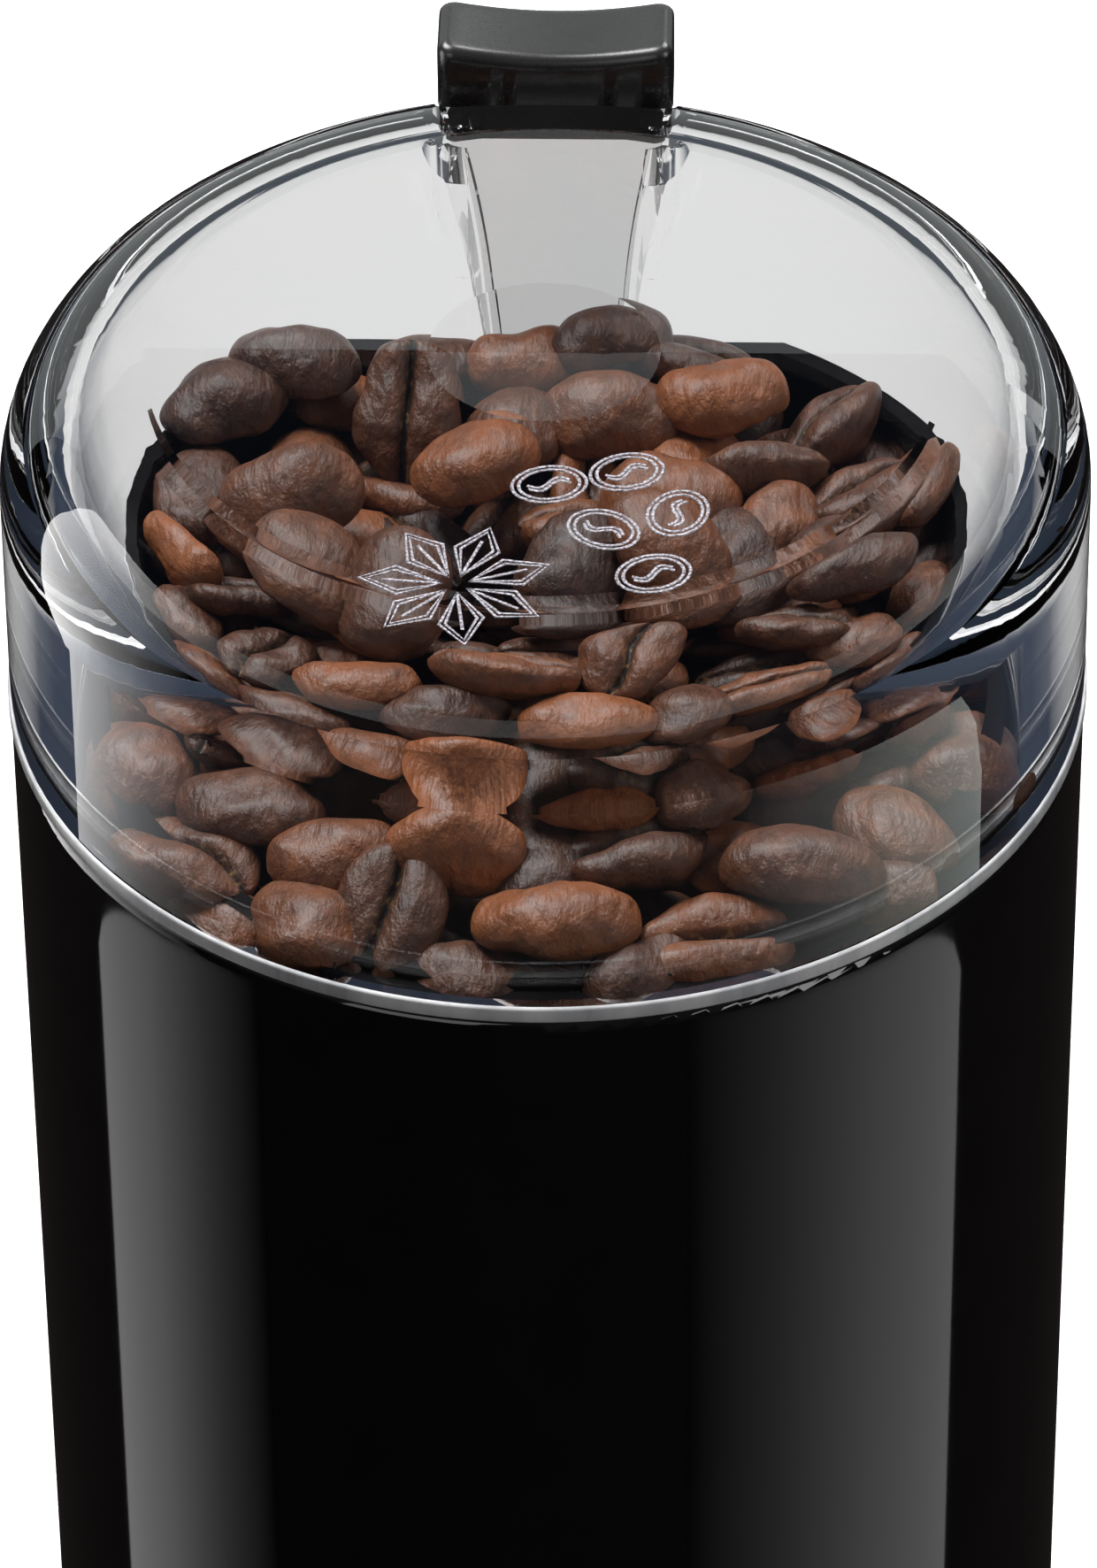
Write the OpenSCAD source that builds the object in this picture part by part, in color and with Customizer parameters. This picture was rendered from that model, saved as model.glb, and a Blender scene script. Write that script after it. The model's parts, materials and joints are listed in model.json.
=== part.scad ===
// One-hand electric coffee grinder with a spinning blade, in millimetres.
// The origin is on the table under the centre of the housing, +Z is up and the front faces -Y.
// The press button stands at the back of the clear lid, on the +Y side.

/* [Housing] */
// Outer radius of the housing where it meets the lid
body_r = 43.9; // [43.7:0.1:44.5]
// Outer radius of the housing at its lower edge
base_r = 43.4; // [43:0.1:44]
// Height of the seam between housing and lid
seam_z = 150; // [150:0.5:156]
// Thickness of the housing wall
wall = 2.5; // [2.2:0.1:2.6]

/* [Lid] */
// Height of the lid above the seam
lid_h = 33.2; // [32.5:0.1:35]
// Outer radius of the lid
lid_r = 43.9; // [43.7:0.1:44.3]
// Radius of the lid's rounded upper edge
lid_round = 12; // [11:0.5:12.5]
// Thickness of the lid's side wall
lid_wall = 5; // [4.8:0.1:5.1]
// Thickness of the lid's flat top
lid_top = 3; // [2.5:0.1:3.5]

/* [Press button] */
// Width of the button cap
button_w = 19.5; // [18:0.5:20]
// Height of the button cap
button_h = 10; // [9:0.5:11]
// How far the button stands above the lid's top
button_proud = 4.8; // [4.5:0.1:6]
// How far the button can be pressed
button_travel = 4; // [3.5:0.1:4.2]

/* [Grinding chamber] */
// Depth of the chamber from the seam to the carrier's underside
chamber_depth = 38; // [38:0.5:40]
// Height of the chamber's mouth above the seam at the back
mouth_rise = 9; // [7:0.5:10]
// Height of the chamber's mouth above the seam at the front
mouth_low = 0.4; // [0.4:0.1:3]
// Radius swept by the blade
blade_r = 31; // [27:0.5:32]

/* [Motor] */
// Width of the stator laminations
stator_w = 58; // [56:1:58]
// Depth of the stator laminations
stator_d = 48; // [47:1:48]
// Height of the lamination stack
stack_h = 26; // [22:1:26]
// Radius of the motor shaft
shaft_r = 3; // [2.5:0.1:3.2]
// Radius of the armature
armature_r = 16.5; // [15:0.5:16.5]

/* [Hidden] */
$fn = 96;

GLOSS_BLACK = [0.03, 0.03, 0.035];
MATTE_BLACK = [0.09, 0.09, 0.10];
RUBBER = [0.05, 0.05, 0.05];
CLEAR = [0.85, 0.88, 0.90, 0.35];
STEEL = [0.78, 0.79, 0.80];
SCREW_STEEL = [0.62, 0.63, 0.65];
LAMINATION = [0.36, 0.37, 0.39];
COPPER = [0.72, 0.40, 0.22];
BRASS = [0.78, 0.62, 0.30];
BRONZE = [0.62, 0.46, 0.28];
CARBON = [0.13, 0.13, 0.14];
CREAM = [0.86, 0.83, 0.74];
WIRE_BROWN = [0.36, 0.20, 0.12];
WIRE_BLUE = [0.16, 0.30, 0.62];
WIRE_GREY = [0.60, 0.60, 0.62];

eps = 0.01;
cut = 0.5;
gap = 0.3;

// Heights of the base
foot_h = 3;
foot_stem_h = 5;
skirt_z = 1.5;
plate_z = 18;
plate_t = 2.5;
plate_top = plate_z + plate_t;

// Base cover: spool for the cord, four foot pillars and the cord inlet
cover_r = base_r - wall - gap;
spool_r = 20;
spool_wall = 2.5;
spool_flange_r = 25;
spool_flange_z = 3;
spool_flange_t = 2;
pillar_r = 4.2;
pillar_ring_r = 36.2;
pillar_angles = [45, 135, 225, 315];
foot_r = 4.2;
foot_stem_r = 1.9;
inlet_y = 31;
inlet_r = 3.2;
inlet_bush_r = 5;
inlet_flange_r = 6;
notch_w = 9;
notch_h = 9.5;

// Bosses inside the housing, at the same three angles for cover and carrier
boss_angles = [0, 120, 240];
cover_boss_ring_r = 36.5;
cover_boss_h = 15;
boss_r = 3.8;
carrier_boss_ring_r = 37;
carrier_boss_h = 14;
screw_r = 1.5;
screw_head_r = 3;
screw_head_h = 1.8;

// Chamber
carrier_z = seam_z - chamber_depth;
carrier_r = 38.5;
carrier_floor_t = 4;
carrier_top = seam_z - 5.2;
bowl_r = 35.4;
bowl_t = 0.6;
bowl_corner = 5;
bowl_lip_r = 38.4;
bowl_z = carrier_z + carrier_floor_t + 0.2;
bowl_hole_r = 7.3;

// Collar: a deck that closes the housing, with a D-shaped mouth that is flat at the back
deck_r = body_r - wall - 0.2;
deck_t = 2.7;
mouth_r = 37.5;
mouth_flat = 32.3;
mouth_wall = 1.5;
mouth_slope_y = 9;
mouth_tilt = atan((mouth_rise - mouth_low) / (mouth_slope_y + mouth_r));
collar_z = carrier_top + bowl_t + 0.05;
skirt_r = 39.9;
skirt_low = seam_z - 10;
snap_z = seam_z - 9.6;
snap_h = 0.8;
slot_w = 8.8;

// Clamp ring and seal at the bottom of the bowl
clamp_r = 11;
clamp_top = bowl_z + bowl_t + 1.8;
clamp_bore_r = 5.6;
seal_z = carrier_z + 1;

// Rotor
shaft_fit = 0.05;
shaft_bottom = carrier_z - 87.5;
shaft_top = bowl_z + 12.8;
hub_z = clamp_top + 0.4;
hub_r = 7.5;
blade_z = hub_z + 4.2;
blade_t = 1.5;
blade_w = 11;
blade_root_w = 14;
nut_z = blade_z + blade_t + shaft_fit;
nut_r = 5.5;

// Motor stack, measured down from the carrier
bridge_top = carrier_z - 8;
bridge_t = 4;
stator_top = carrier_z - 28;
stator_z = stator_top - stack_h;
lower_bridge_z = carrier_z - 89.5;
lower_bridge_t = 3.5;
stator_bore_r = armature_r + 0.5;
post_x = 25;
post_y = 20.3;
post_r = 3.8;
bridge_w = 60;
bridge_d = 50;
bridge_corner = 8;
bearing_r = 6.5;
bearing_h = 7;
bearing_clearance = 0.03;
bearing_pocket_r = 9;
winding_h = 6.6;
fan_z = stator_top + 8;
fan_r = 21;
fan_h = 7;
fan_blades = 11;
comm_z = lower_bridge_z + 13.5;
comm_h = 12;
comm_r = 10;
comm_bars = 12;
armature_slots = 12;

// Coils sit in windows on both sides of the stator bore
window_x = [17, 23];
window_y = [9, 17];
coil_gap = 0.4;
coil_end = 7;

// Brush gear, along Y at the middle of the commutator
brush_z = comm_z + comm_h / 2;
brush_w = 5;
brush_l = 12;
brush_gap = 0.2;
holder_w = 8;
holder_y = [12, 31];
holder_clearance = 0.15;
brush_cap_t = 1.6;

// Terminal block, fuse and wires
block_x = [7, 19];
block_y = [26.5, 34.5];
block_h = 9;
block_ways = [10, 16];
block_mid = (block_y[0] + block_y[1]) / 2;
block_top = plate_top + block_h + 0.1;
fuse_r = 1.9;
fuse_x = -window_x[1] + coil_gap - fuse_r - 0.05;
fuse_z = stator_z - 4;
wire_r = 0.9;
coil_face = window_x[1] - coil_gap + wire_r + 0.3;

// Switch behind the chamber
slider_w = 8;
slider_y = [38.9, 40.6];
slider_top = seam_z - 0.4;
foot_bar_z = carrier_z - 7;
foot_bar_t = 3;
lever_x = -4.5;
lever_z = carrier_z - 13;
lever_t = 0.5;
lever_y = [34, 37.2];
lever_end = 8.5;
nib_x = 6;
nib_r = 0.8;
nib_drop = 1.5;
lever_angle = atan(button_travel / (nib_x - lever_x));
switch_x = [-6.5, 13];
switch_y = [32.6, 38.4];
switch_h = 9.9;
switch_top = lever_z - 0.8;
switch_button_r = 1.1;
switch_button_top = lever_z + 0.9;
spring_x = -10.5;
spring_y = 35.9;
spring_r = 2;
spring_wire_r = 0.3;
spring_seat_z = carrier_z - 20;
terminal_low = switch_top - switch_h - 6.1;
bracket_x = [-14, 13];
bracket_y = [30.4, 32.4];
bracket_screw_x = [-9, 9];
bracket_screw_y = 28.2;
switch_screw_x = [-2, 9.5];
switch_screw_z = switch_top - 7;

// Lid, in its own heights above the seam
lid_lift_gap = 0.2;
lid_bore_r = lid_r - lid_wall;
lid_inner_round = lid_round - lid_wall;
lid_foot_r = lid_r + 0.15;
lid_foot_h = 1.7;
lid_foot_edge = 0.3;
pocket_floor = lid_h + button_proud - button_h - button_travel - gap;
pocket_w = button_w + 0.6;
pocket_y = 34.8;
channel_front = mouth_flat + 0.5;
channel_w = 14.8;
channel_flare = 4.2;
channel_flare_h = 30;
channel_side = 1.2;
channel_lip = 1;
lip_y = 42;
dimple_r = 9.3;
dimple_depth = 0.15;
dimple_ball_r = (dimple_r * dimple_r + dimple_depth * dimple_depth) / (2 * dimple_depth);
step_side = 1;
step_drop = 1.5;
step_floor = lid_h - step_drop - button_travel - gap;
neck_w = pocket_w - 2 * step_side;
pocket_rise = 15;
pocket_round = 4;
pocket_corner = 1.8;

// Button
cap_y = [35.3, 43.4];
cap_corner = 1.4;
cap_z = seam_z + lid_h + button_proud - button_h;
cap_dish = 1.1;
tongue_y = [37.4, 40.9];
tongue_floor = button_travel + 0.6;
head_h = 5.5;
head_half = 6;
pin_w = 7.6;
pin_y = [39.1, 40.4];
pin_floor = slider_top + gap;

function unit(v) = v / norm(v);

// A smooth curve through hand-placed points, with some steps between each two
function blend(a, b, c, d, t) =
    0.5 * (2 * b + (c - a) * t + (2 * a - 5 * b + 4 * c - d) * t * t + (3 * b - a - 3 * c + d) * t * t * t);
function at(p, i) = p[max(0, min(i, len(p) - 1))];
function curve(p, steps) = [
    for (i = [0:len(p) - 2], k = [0:steps - 1])
        blend(at(p, i - 1), p[i], p[i + 1], at(p, i + 2), k / steps),
    p[len(p) - 1]];

function helix(r, h, turns, per_turn) =
    [for (i = [0:turns * per_turn]) let (a = 360 * i / per_turn)
        [r * cos(a), r * sin(a), h * i / (turns * per_turn)]];

module ring(outer, inner, h) {
    difference() {
        cylinder(r = outer, h = h);
        translate([0, 0, -cut]) cylinder(r = inner, h = h + 2 * cut);
    }
}

// A box given by its lowest and highest corner
module span(low, high) {
    translate(low) cube(high - low);
}

module rounded_plate(w, d, r, h) {
    linear_extrude(h) {
        square([w - 2 * r, d], center = true);
        square([w, d - 2 * r], center = true);
        for (x = [-1, 1], y = [-1, 1])
            translate([x * (w / 2 - r), y * (d / 2 - r)]) circle(r);
    }
}

// A round tube swept along a list of points; ref is any direction the path never takes
module swept_tube(points, r, ref, sides = 8) {
    n = len(points);
    skin = [for (i = [0:n - 1])
        let (t = unit(points[min(i + 1, n - 1)] - points[max(i - 1, 0)]),
             u = unit(cross(t, ref)),
             v = cross(t, u))
        for (k = [0:sides - 1])
            let (a = 360 * k / sides)
            points[i] + r * cos(a) * u + r * sin(a) * v];
    walls = [for (i = [0:n - 2], k = [0:sides - 1])
        let (a = i * sides + k, b = i * sides + (k + 1) % sides)
        each [[a, b + sides, b], [a, a + sides, b + sides]]];
    ends = [[for (k = [0:sides - 1]) k],
            [for (k = [sides - 1:-1:0]) (n - 1) * sides + k]];
    polyhedron(skin, concat(walls, ends), convexity = 8);
}

module screw(z_head, z_tip, r = screw_r, head_r = screw_head_r, head_h = screw_head_h) {
    translate([0, 0, z_head]) cylinder(r = head_r, h = head_h);
    translate([0, 0, z_head + head_h - eps]) cylinder(r = r, h = z_tip - z_head - head_h + eps);
}

// ---------- housing and base ----------

module housing_boss(ring_r, z, h) {
    difference() {
        union() {
            translate([ring_r, 0, z]) cylinder(r = boss_r, h = h);
            intersection() {
                span([ring_r, -1.2, z], [body_r, 1.2, z + h]);
                cylinder(r = base_r - 1, h = seam_z);
            }
        }
        translate([ring_r, 0, z - cut]) cylinder(r = screw_r + 0.1, h = h + 2 * cut);
    }
}

module housing() {
    edge = 0.8;
    color(GLOSS_BLACK) difference() {
        union() {
            rotate_extrude($fn = 180) union() {
                polygon([
                    [base_r - wall, skirt_z],
                    [base_r - edge, skirt_z],
                    [base_r, skirt_z + edge],
                    [body_r, seam_z - edge],
                    [body_r - edge, seam_z],
                    [body_r - wall, seam_z],
                ]);
                translate([body_r - edge, seam_z - edge]) circle(edge);
            }
            for (a = boss_angles) rotate(a) {
                housing_boss(cover_boss_ring_r, plate_top, cover_boss_h);
                housing_boss(carrier_boss_ring_r, carrier_z - carrier_boss_h, carrier_boss_h);
            }
        }
        span([-notch_w / 2, base_r - 8, skirt_z - cut], [notch_w / 2, base_r + cut, notch_h - notch_w / 2]);
        translate([0, base_r + cut, notch_h - notch_w / 2])
            rotate([90, 0, 0]) cylinder(r = notch_w / 2, h = 8 + cut);
    }
}

module base_cover() {
    vent_slots = 14;
    color(MATTE_BLACK) difference() {
        union() {
            translate([0, 0, plate_z]) cylinder(r = cover_r, h = plate_t);
            translate([0, 0, spool_flange_z]) cylinder(r = spool_r, h = plate_z - spool_flange_z + eps);
            translate([0, 0, spool_flange_z]) cylinder(r = spool_flange_r, h = spool_flange_t);
            for (a = pillar_angles) rotate(a)
                translate([pillar_ring_r, 0, foot_h]) cylinder(r = pillar_r, h = plate_z - foot_h + eps);
        }
        translate([0, 0, spool_flange_z + spool_flange_t])
            cylinder(r = spool_r - spool_wall, h = plate_top);
        for (a = pillar_angles) rotate(a)
            translate([pillar_ring_r, 0, foot_h - cut])
                cylinder(r = foot_stem_r + 0.05, h = foot_stem_h + cut + 0.2);
        for (a = boss_angles) rotate(a)
            translate([cover_boss_ring_r, 0, plate_z - cut])
                cylinder(r = screw_r + 0.1, h = plate_t + 2 * cut);
        translate([0, inlet_y, plate_z - cut]) cylinder(r = inlet_bush_r + 0.05, h = plate_t + 2 * cut);
        for (i = [0:vent_slots - 1]) let (a = 360 * (i + 0.5) / vent_slots)
            if (abs(a - 90) > 20) rotate(a)
                span([23, -1.2, plate_z - cut], [31, 1.2, plate_top + cut]);
        for (x = [-10:5:10])
            span([x - 1.1, -10, spool_flange_z - cut],
                 [x + 1.1, 10, spool_flange_z + spool_flange_t + cut]);
    }
}

module rubber_feet() {
    color(RUBBER) for (a = pillar_angles) rotate(a) translate([pillar_ring_r, 0, 0]) {
        cylinder(r1 = foot_r - 0.6, r2 = foot_r, h = 1);
        translate([0, 0, 1 - eps]) cylinder(r = foot_r, h = foot_h - 1 + eps);
        translate([0, 0, foot_h - eps]) cylinder(r = foot_stem_r, h = foot_stem_h + eps);
    }
}

module base_screws() {
    color(SCREW_STEEL) for (a = boss_angles) rotate(a) translate([cover_boss_ring_r, 0, 0])
        difference() {
            screw(plate_z - screw_head_h, plate_top + 12);
            span([-2, -0.4, plate_z - screw_head_h - cut], [2, 0.4, plate_z - screw_head_h + 0.9]);
            span([-0.4, -2, plate_z - screw_head_h - cut], [0.4, 2, plate_z - screw_head_h + 0.9]);
        }
}

module cord_inlet_bush() {
    color(RUBBER) translate([0, inlet_y, 0]) difference() {
        union() {
            translate([0, 0, plate_z - 1.5]) cylinder(r = inlet_flange_r, h = 1.5);
            translate([0, 0, plate_z - eps]) cylinder(r = inlet_bush_r, h = plate_t + 2 * eps);
            translate([0, 0, plate_top]) cylinder(r = inlet_flange_r, h = 2.5);
        }
        translate([0, 0, plate_z - 2]) cylinder(r = inlet_r, h = plate_t + 5);
    }
}

// ---------- grinding chamber ----------

module mouth_outline(r, flat) {
    intersection() {
        circle(r, $fn = 180);
        translate([-r, -r]) square([2 * r, r + flat]);
    }
}

module chamber_collar() {
    color(GLOSS_BLACK) difference() {
        union() {
            translate([0, 0, collar_z]) linear_extrude(seam_z + mouth_rise - collar_z)
                mouth_outline(mouth_r, mouth_flat);
            translate([0, 0, seam_z - deck_t]) cylinder(r = deck_r, h = deck_t, $fn = 180);
            translate([0, 0, collar_z]) cylinder(r = skirt_r, h = seam_z - deck_t - collar_z + eps);
            translate([0, 0, skirt_low]) ring(skirt_r, carrier_r + 0.25, collar_z - skirt_low + eps);
            translate([0, 0, snap_z]) ring(skirt_r - eps, carrier_r - 0.3, snap_h);
        }
        translate([0, 0, collar_z - cut]) linear_extrude(mouth_rise + 10)
            mouth_outline(mouth_r - mouth_wall, mouth_flat - mouth_wall);
        translate([0, mouth_slope_y, seam_z + mouth_rise]) rotate([mouth_tilt, 0, 0])
            span([-50, -100, 0], [50, 0, 30]);
        span([-slot_w / 2, slider_y[0] - 0.4, skirt_low - cut], [slot_w / 2, body_r, seam_z + cut]);
    }
}

module bowl_carrier() {
    color(GLOSS_BLACK) difference() {
        translate([0, 0, carrier_z]) cylinder(r = carrier_r, h = carrier_top - carrier_z);
        translate([0, 0, carrier_z + carrier_floor_t]) cylinder(r = bowl_r + 0.2, h = 40);
        translate([0, 0, carrier_z - cut]) cylinder(r = bowl_hole_r, h = carrier_floor_t + 2 * cut);
        translate([0, 0, snap_z - 0.3]) ring(carrier_r + 1, carrier_r - 0.5, snap_h + 0.6);
        for (a = boss_angles) rotate(a)
            translate([carrier_boss_ring_r, 0, carrier_z - cut]) cylinder(r = screw_r + 0.1, h = 6 + cut);
        for (x = bracket_screw_x)
            translate([x, bracket_screw_y, carrier_z - cut]) cylinder(r = 1.1, h = 3 + cut);
    }
}

module carrier_screws() {
    color(SCREW_STEEL) for (a = boss_angles) rotate(a) translate([carrier_boss_ring_r, 0, 0])
        screw(carrier_z - carrier_boss_h - screw_head_h, carrier_z + 5.5);
}

module bowl_outline(r, corner, floor_z) {
    translate([0, floor_z + corner]) square([r, carrier_top - floor_z - corner + bowl_t]);
    translate([0, floor_z]) square([r - corner, corner + eps]);
    intersection() {
        translate([r - corner, floor_z + corner]) circle(corner);
        square([r, 400]);
    }
}

module grinding_bowl() {
    color(STEEL) difference() {
        union() {
            rotate_extrude($fn = 144) difference() {
                bowl_outline(bowl_r, bowl_corner + bowl_t, bowl_z);
                bowl_outline(bowl_r - bowl_t, bowl_corner, bowl_z + bowl_t);
            }
            translate([0, 0, carrier_top]) ring(bowl_lip_r, bowl_r - bowl_t, bowl_t);
        }
        translate([0, 0, bowl_z - cut]) cylinder(r = bowl_hole_r, h = bowl_t + 2 * cut);
    }
}

module bowl_clamp_ring() {
    flats = 6;
    color(MATTE_BLACK) difference() {
        union() {
            translate([0, 0, bowl_z + bowl_t + 0.05])
                cylinder(r = clamp_r, h = clamp_top - bowl_z - bowl_t - 0.05);
            translate([0, 0, seal_z - 0.4])
                cylinder(r = bowl_hole_r - 0.1, h = bowl_z - seal_z + bowl_t + 1);
        }
        translate([0, 0, seal_z]) cylinder(r = clamp_bore_r, h = 20);
        translate([0, 0, seal_z - 2]) cylinder(r = shaft_r + 1, h = 20);
        for (i = [0:flats - 1]) rotate(60 * i)
            span([clamp_r - 1.4, -1.5, clamp_top - 1.2], [clamp_r + 1, 1.5, clamp_top + 1]);
    }
}

module shaft_seal() {
    color(RUBBER) difference() {
        translate([0, 0, seal_z + 0.1]) cylinder(r = clamp_bore_r - 0.05, h = clamp_top - seal_z - 0.4);
        translate([0, 0, seal_z - 1]) cylinder(r = shaft_r + 0.15, h = 20);
        translate([0, 0, clamp_top - 2]) cylinder(r = shaft_r + 1.1, h = 3);
    }
}

// ---------- blade and rotor ----------

// One wing of the blade, flat to the bend and then tilted by angle
module blade_wing(angle) {
    bend_r = blade_r - 9;
    linear_extrude(blade_t) polygon([
        [0, -blade_root_w / 2],
        [bend_r * 0.45, -blade_root_w / 2],
        [bend_r, -blade_w / 2],
        [bend_r, blade_w / 2 - 1],
        [bend_r * 0.45, blade_w / 2],
        [0, blade_root_w / 2],
    ]);
    translate([bend_r - eps, 0, 0]) rotate([0, -angle, 0]) linear_extrude(blade_t) polygon([
        [-0.3, -blade_w / 2],
        [6, -blade_w / 2 + 0.6],
        [9, -1],
        [8.4, blade_w / 2 - 3],
        [-0.3, blade_w / 2 - 1],
    ]);
}

module blade() {
    color(STEEL) difference() {
        translate([0, 0, blade_z]) {
            blade_wing(32);
            rotate(180) blade_wing(-18);
        }
        translate([0, 0, blade_z - cut]) cylinder(r = shaft_r + shaft_fit, h = blade_t + 2 * cut);
    }
}

module blade_hub() {
    color(MATTE_BLACK) difference() {
        union() {
            translate([0, 0, hub_z]) cylinder(r = hub_r, h = 2.4);
            translate([0, 0, hub_z + 2.4 - eps])
                cylinder(r1 = hub_r, r2 = hub_r - 1.2, h = blade_z - hub_z - 2.4 - shaft_fit);
        }
        translate([0, 0, hub_z - cut]) cylinder(r = shaft_r + shaft_fit, h = 10);
    }
}

module blade_cap_nut() {
    dome = 3.2;
    color(STEEL) difference() {
        union() {
            translate([0, 0, nut_z]) cylinder(r = nut_r, h = 2.6);
            translate([0, 0, nut_z + 2.6 - eps]) cylinder(r1 = nut_r, r2 = nut_r - 2, h = dome);
        }
        translate([0, 0, nut_z - cut]) cylinder(r = shaft_r + shaft_fit, h = shaft_top - nut_z + cut + 0.2);
        for (s = [-1, 1]) translate([0, s * (nut_r + 1.2), nut_z + 0.6]) span([-6, -2, 0], [6, 2, 6]);
    }
}

module motor_shaft() {
    color(SCREW_STEEL) translate([0, 0, shaft_bottom]) {
        cylinder(r1 = shaft_r - 0.5, r2 = shaft_r, h = 0.8);
        translate([0, 0, 0.8 - eps]) cylinder(r = shaft_r, h = shaft_top - shaft_bottom - 0.8);
    }
}

module armature_core() {
    color(LAMINATION) difference() {
        translate([0, 0, stator_z + 0.2]) ring(armature_r, shaft_r + shaft_fit, stack_h - 0.4);
        for (i = [0:armature_slots - 1]) rotate(360 * i / armature_slots) {
            span([9, -1.3, stator_z - cut], [14.8, 1.3, stator_top + cut]);
            span([14, -0.6, stator_z - cut], [armature_r + 1, 0.6, stator_top + cut]);
        }
    }
}

module winding_end(z) {
    translate([0, 0, z]) difference() {
        union() {
            ring(armature_r - 3, shaft_r + 1.6, winding_h);
            for (i = [0:armature_slots - 1]) rotate(360 * (i + 0.5) / armature_slots)
                translate([armature_r - 4.4, 0, 0]) cylinder(r = 2.2, h = winding_h - 0.8, $fn = 24);
        }
    }
}

module armature_winding() {
    color(COPPER) union() {
        winding_end(stator_top + 0.05);
        winding_end(stator_z - winding_h - 0.05);
        for (i = [0:armature_slots - 1]) rotate(360 * i / armature_slots)
            span([9.2, -1.1, stator_z - 1], [14.4, 1.1, stator_top + 1]);
    }
}

module commutator() {
    color(COPPER) difference() {
        union() {
            translate([0, 0, comm_z]) ring(comm_r, shaft_r + shaft_fit, comm_h);
            translate([0, 0, comm_z + comm_h - 1.6]) ring(comm_r + 1.2, shaft_r + 2, 1.6);
        }
        for (i = [0:comm_bars - 1]) rotate(360 * i / comm_bars)
            span([comm_r - 1, -0.25, comm_z - cut], [comm_r + 2, 0.25, comm_z + comm_h + cut]);
    }
}

module motor_fan() {
    hub = 6;
    color(CREAM) difference() {
        union() {
            translate([0, 0, fan_z]) cylinder(r = hub, h = fan_h);
            translate([0, 0, fan_z]) cylinder(r = fan_r, h = 1.2);
            for (i = [0:fan_blades - 1]) rotate(360 * i / fan_blades)
                translate([hub - 1, 0, fan_z + 1]) rotate(14)
                    span([0, -0.5, 0], [fan_r - hub - 0.2, 0.5, fan_h - 1.6]);
        }
        translate([0, 0, fan_z - cut]) cylinder(r = shaft_r + shaft_fit, h = fan_h + 2 * cut);
    }
}

module retaining_clip() {
    color(SCREW_STEEL) difference() {
        translate([0, 0, lower_bridge_z + 11.2]) ring(shaft_r + 1.6, shaft_r + shaft_fit, 0.7);
        span([-1.4, 0, lower_bridge_z + 10], [1.4, 8, lower_bridge_z + 13]);
    }
}

module thrust_washer() {
    color(BRONZE) translate([0, 0, lower_bridge_z + 10.2]) ring(shaft_r + 2.2, shaft_r + 0.1, 0.8);
}

// ---------- motor frame ----------

module bearing(z) {
    translate([0, 0, z]) ring(bearing_r - 0.05, shaft_r + bearing_clearance, bearing_h);
}

module upper_bearing() {
    color(BRONZE) bearing(bridge_top - bridge_t + 1.6);
}

module lower_bearing() {
    color(BRONZE) bearing(lower_bridge_z + 2);
}

module each_post() {
    for (x = [-post_x, post_x], y = [-post_y, post_y]) translate([x, y, 0]) children();
}

module upper_bridge() {
    pocket_h = 9.6;
    color(MATTE_BLACK) difference() {
        union() {
            translate([0, 0, bridge_top - bridge_t])
                rounded_plate(bridge_w, bridge_d, bridge_corner, bridge_t);
            translate([0, 0, bridge_top - bridge_t]) cylinder(r = bearing_pocket_r, h = pocket_h);
            each_post() translate([0, 0, stator_top]) cylinder(r = post_r, h = bridge_top - stator_top - 1);
        }
        translate([0, 0, bridge_top - bridge_t + 1.6]) cylinder(r = bearing_r, h = pocket_h);
        translate([0, 0, bridge_top - bridge_t - cut]) cylinder(r = shaft_r + 1, h = 4);
        each_post() translate([0, 0, stator_top - cut]) cylinder(r = screw_r + 0.1, h = 14);
        for (x = [-1, 1], y = [-1, 1]) translate([x * 14.5, y * 14, bridge_top - bridge_t - cut])
            cylinder(r = 3.6, h = bridge_t + 2 * cut);
    }
}

module lower_bridge() {
    seat_z = brush_z - holder_w / 2;
    color(MATTE_BLACK) difference() {
        union() {
            translate([0, 0, lower_bridge_z])
                rounded_plate(bridge_w, bridge_d, bridge_corner, lower_bridge_t);
            translate([0, 0, lower_bridge_z]) cylinder(r = bearing_pocket_r, h = 9.6);
            each_post() translate([0, 0, lower_bridge_z + 1])
                cylinder(r = post_r, h = stator_z - lower_bridge_z - 1);
            for (s = [-1, 1])
                span([-3, min(s * 15, s * 23), lower_bridge_z + 1], [3, max(s * 15, s * 23), seat_z]);
        }
        translate([0, 0, lower_bridge_z + 2]) cylinder(r = bearing_r, h = 12);
        each_post() translate([0, 0, lower_bridge_z - cut]) cylinder(r = screw_r + 0.1, h = 60);
        for (x = [-1, 1])
            translate([x * 18, 0, lower_bridge_z - cut]) cylinder(r = 5, h = lower_bridge_t + 2 * cut);
    }
}

module stator_core() {
    color(LAMINATION) difference() {
        translate([0, 0, stator_z]) rounded_plate(stator_w, stator_d, 5, stack_h);
        translate([0, 0, stator_z - cut]) cylinder(r = stator_bore_r, h = stack_h + 2 * cut);
        for (sx = [-1, 1], sy = [-1, 1]) mirror([sx < 0 ? 1 : 0, 0, 0]) mirror([0, sy < 0 ? 1 : 0, 0])
            span([window_x[0], window_y[0], stator_z - cut], [window_x[1], window_y[1], stator_top + cut]);
        each_post() translate([0, 0, stator_z - cut]) cylinder(r = screw_r + 0.1, h = stack_h + 2 * cut);
    }
}

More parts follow.
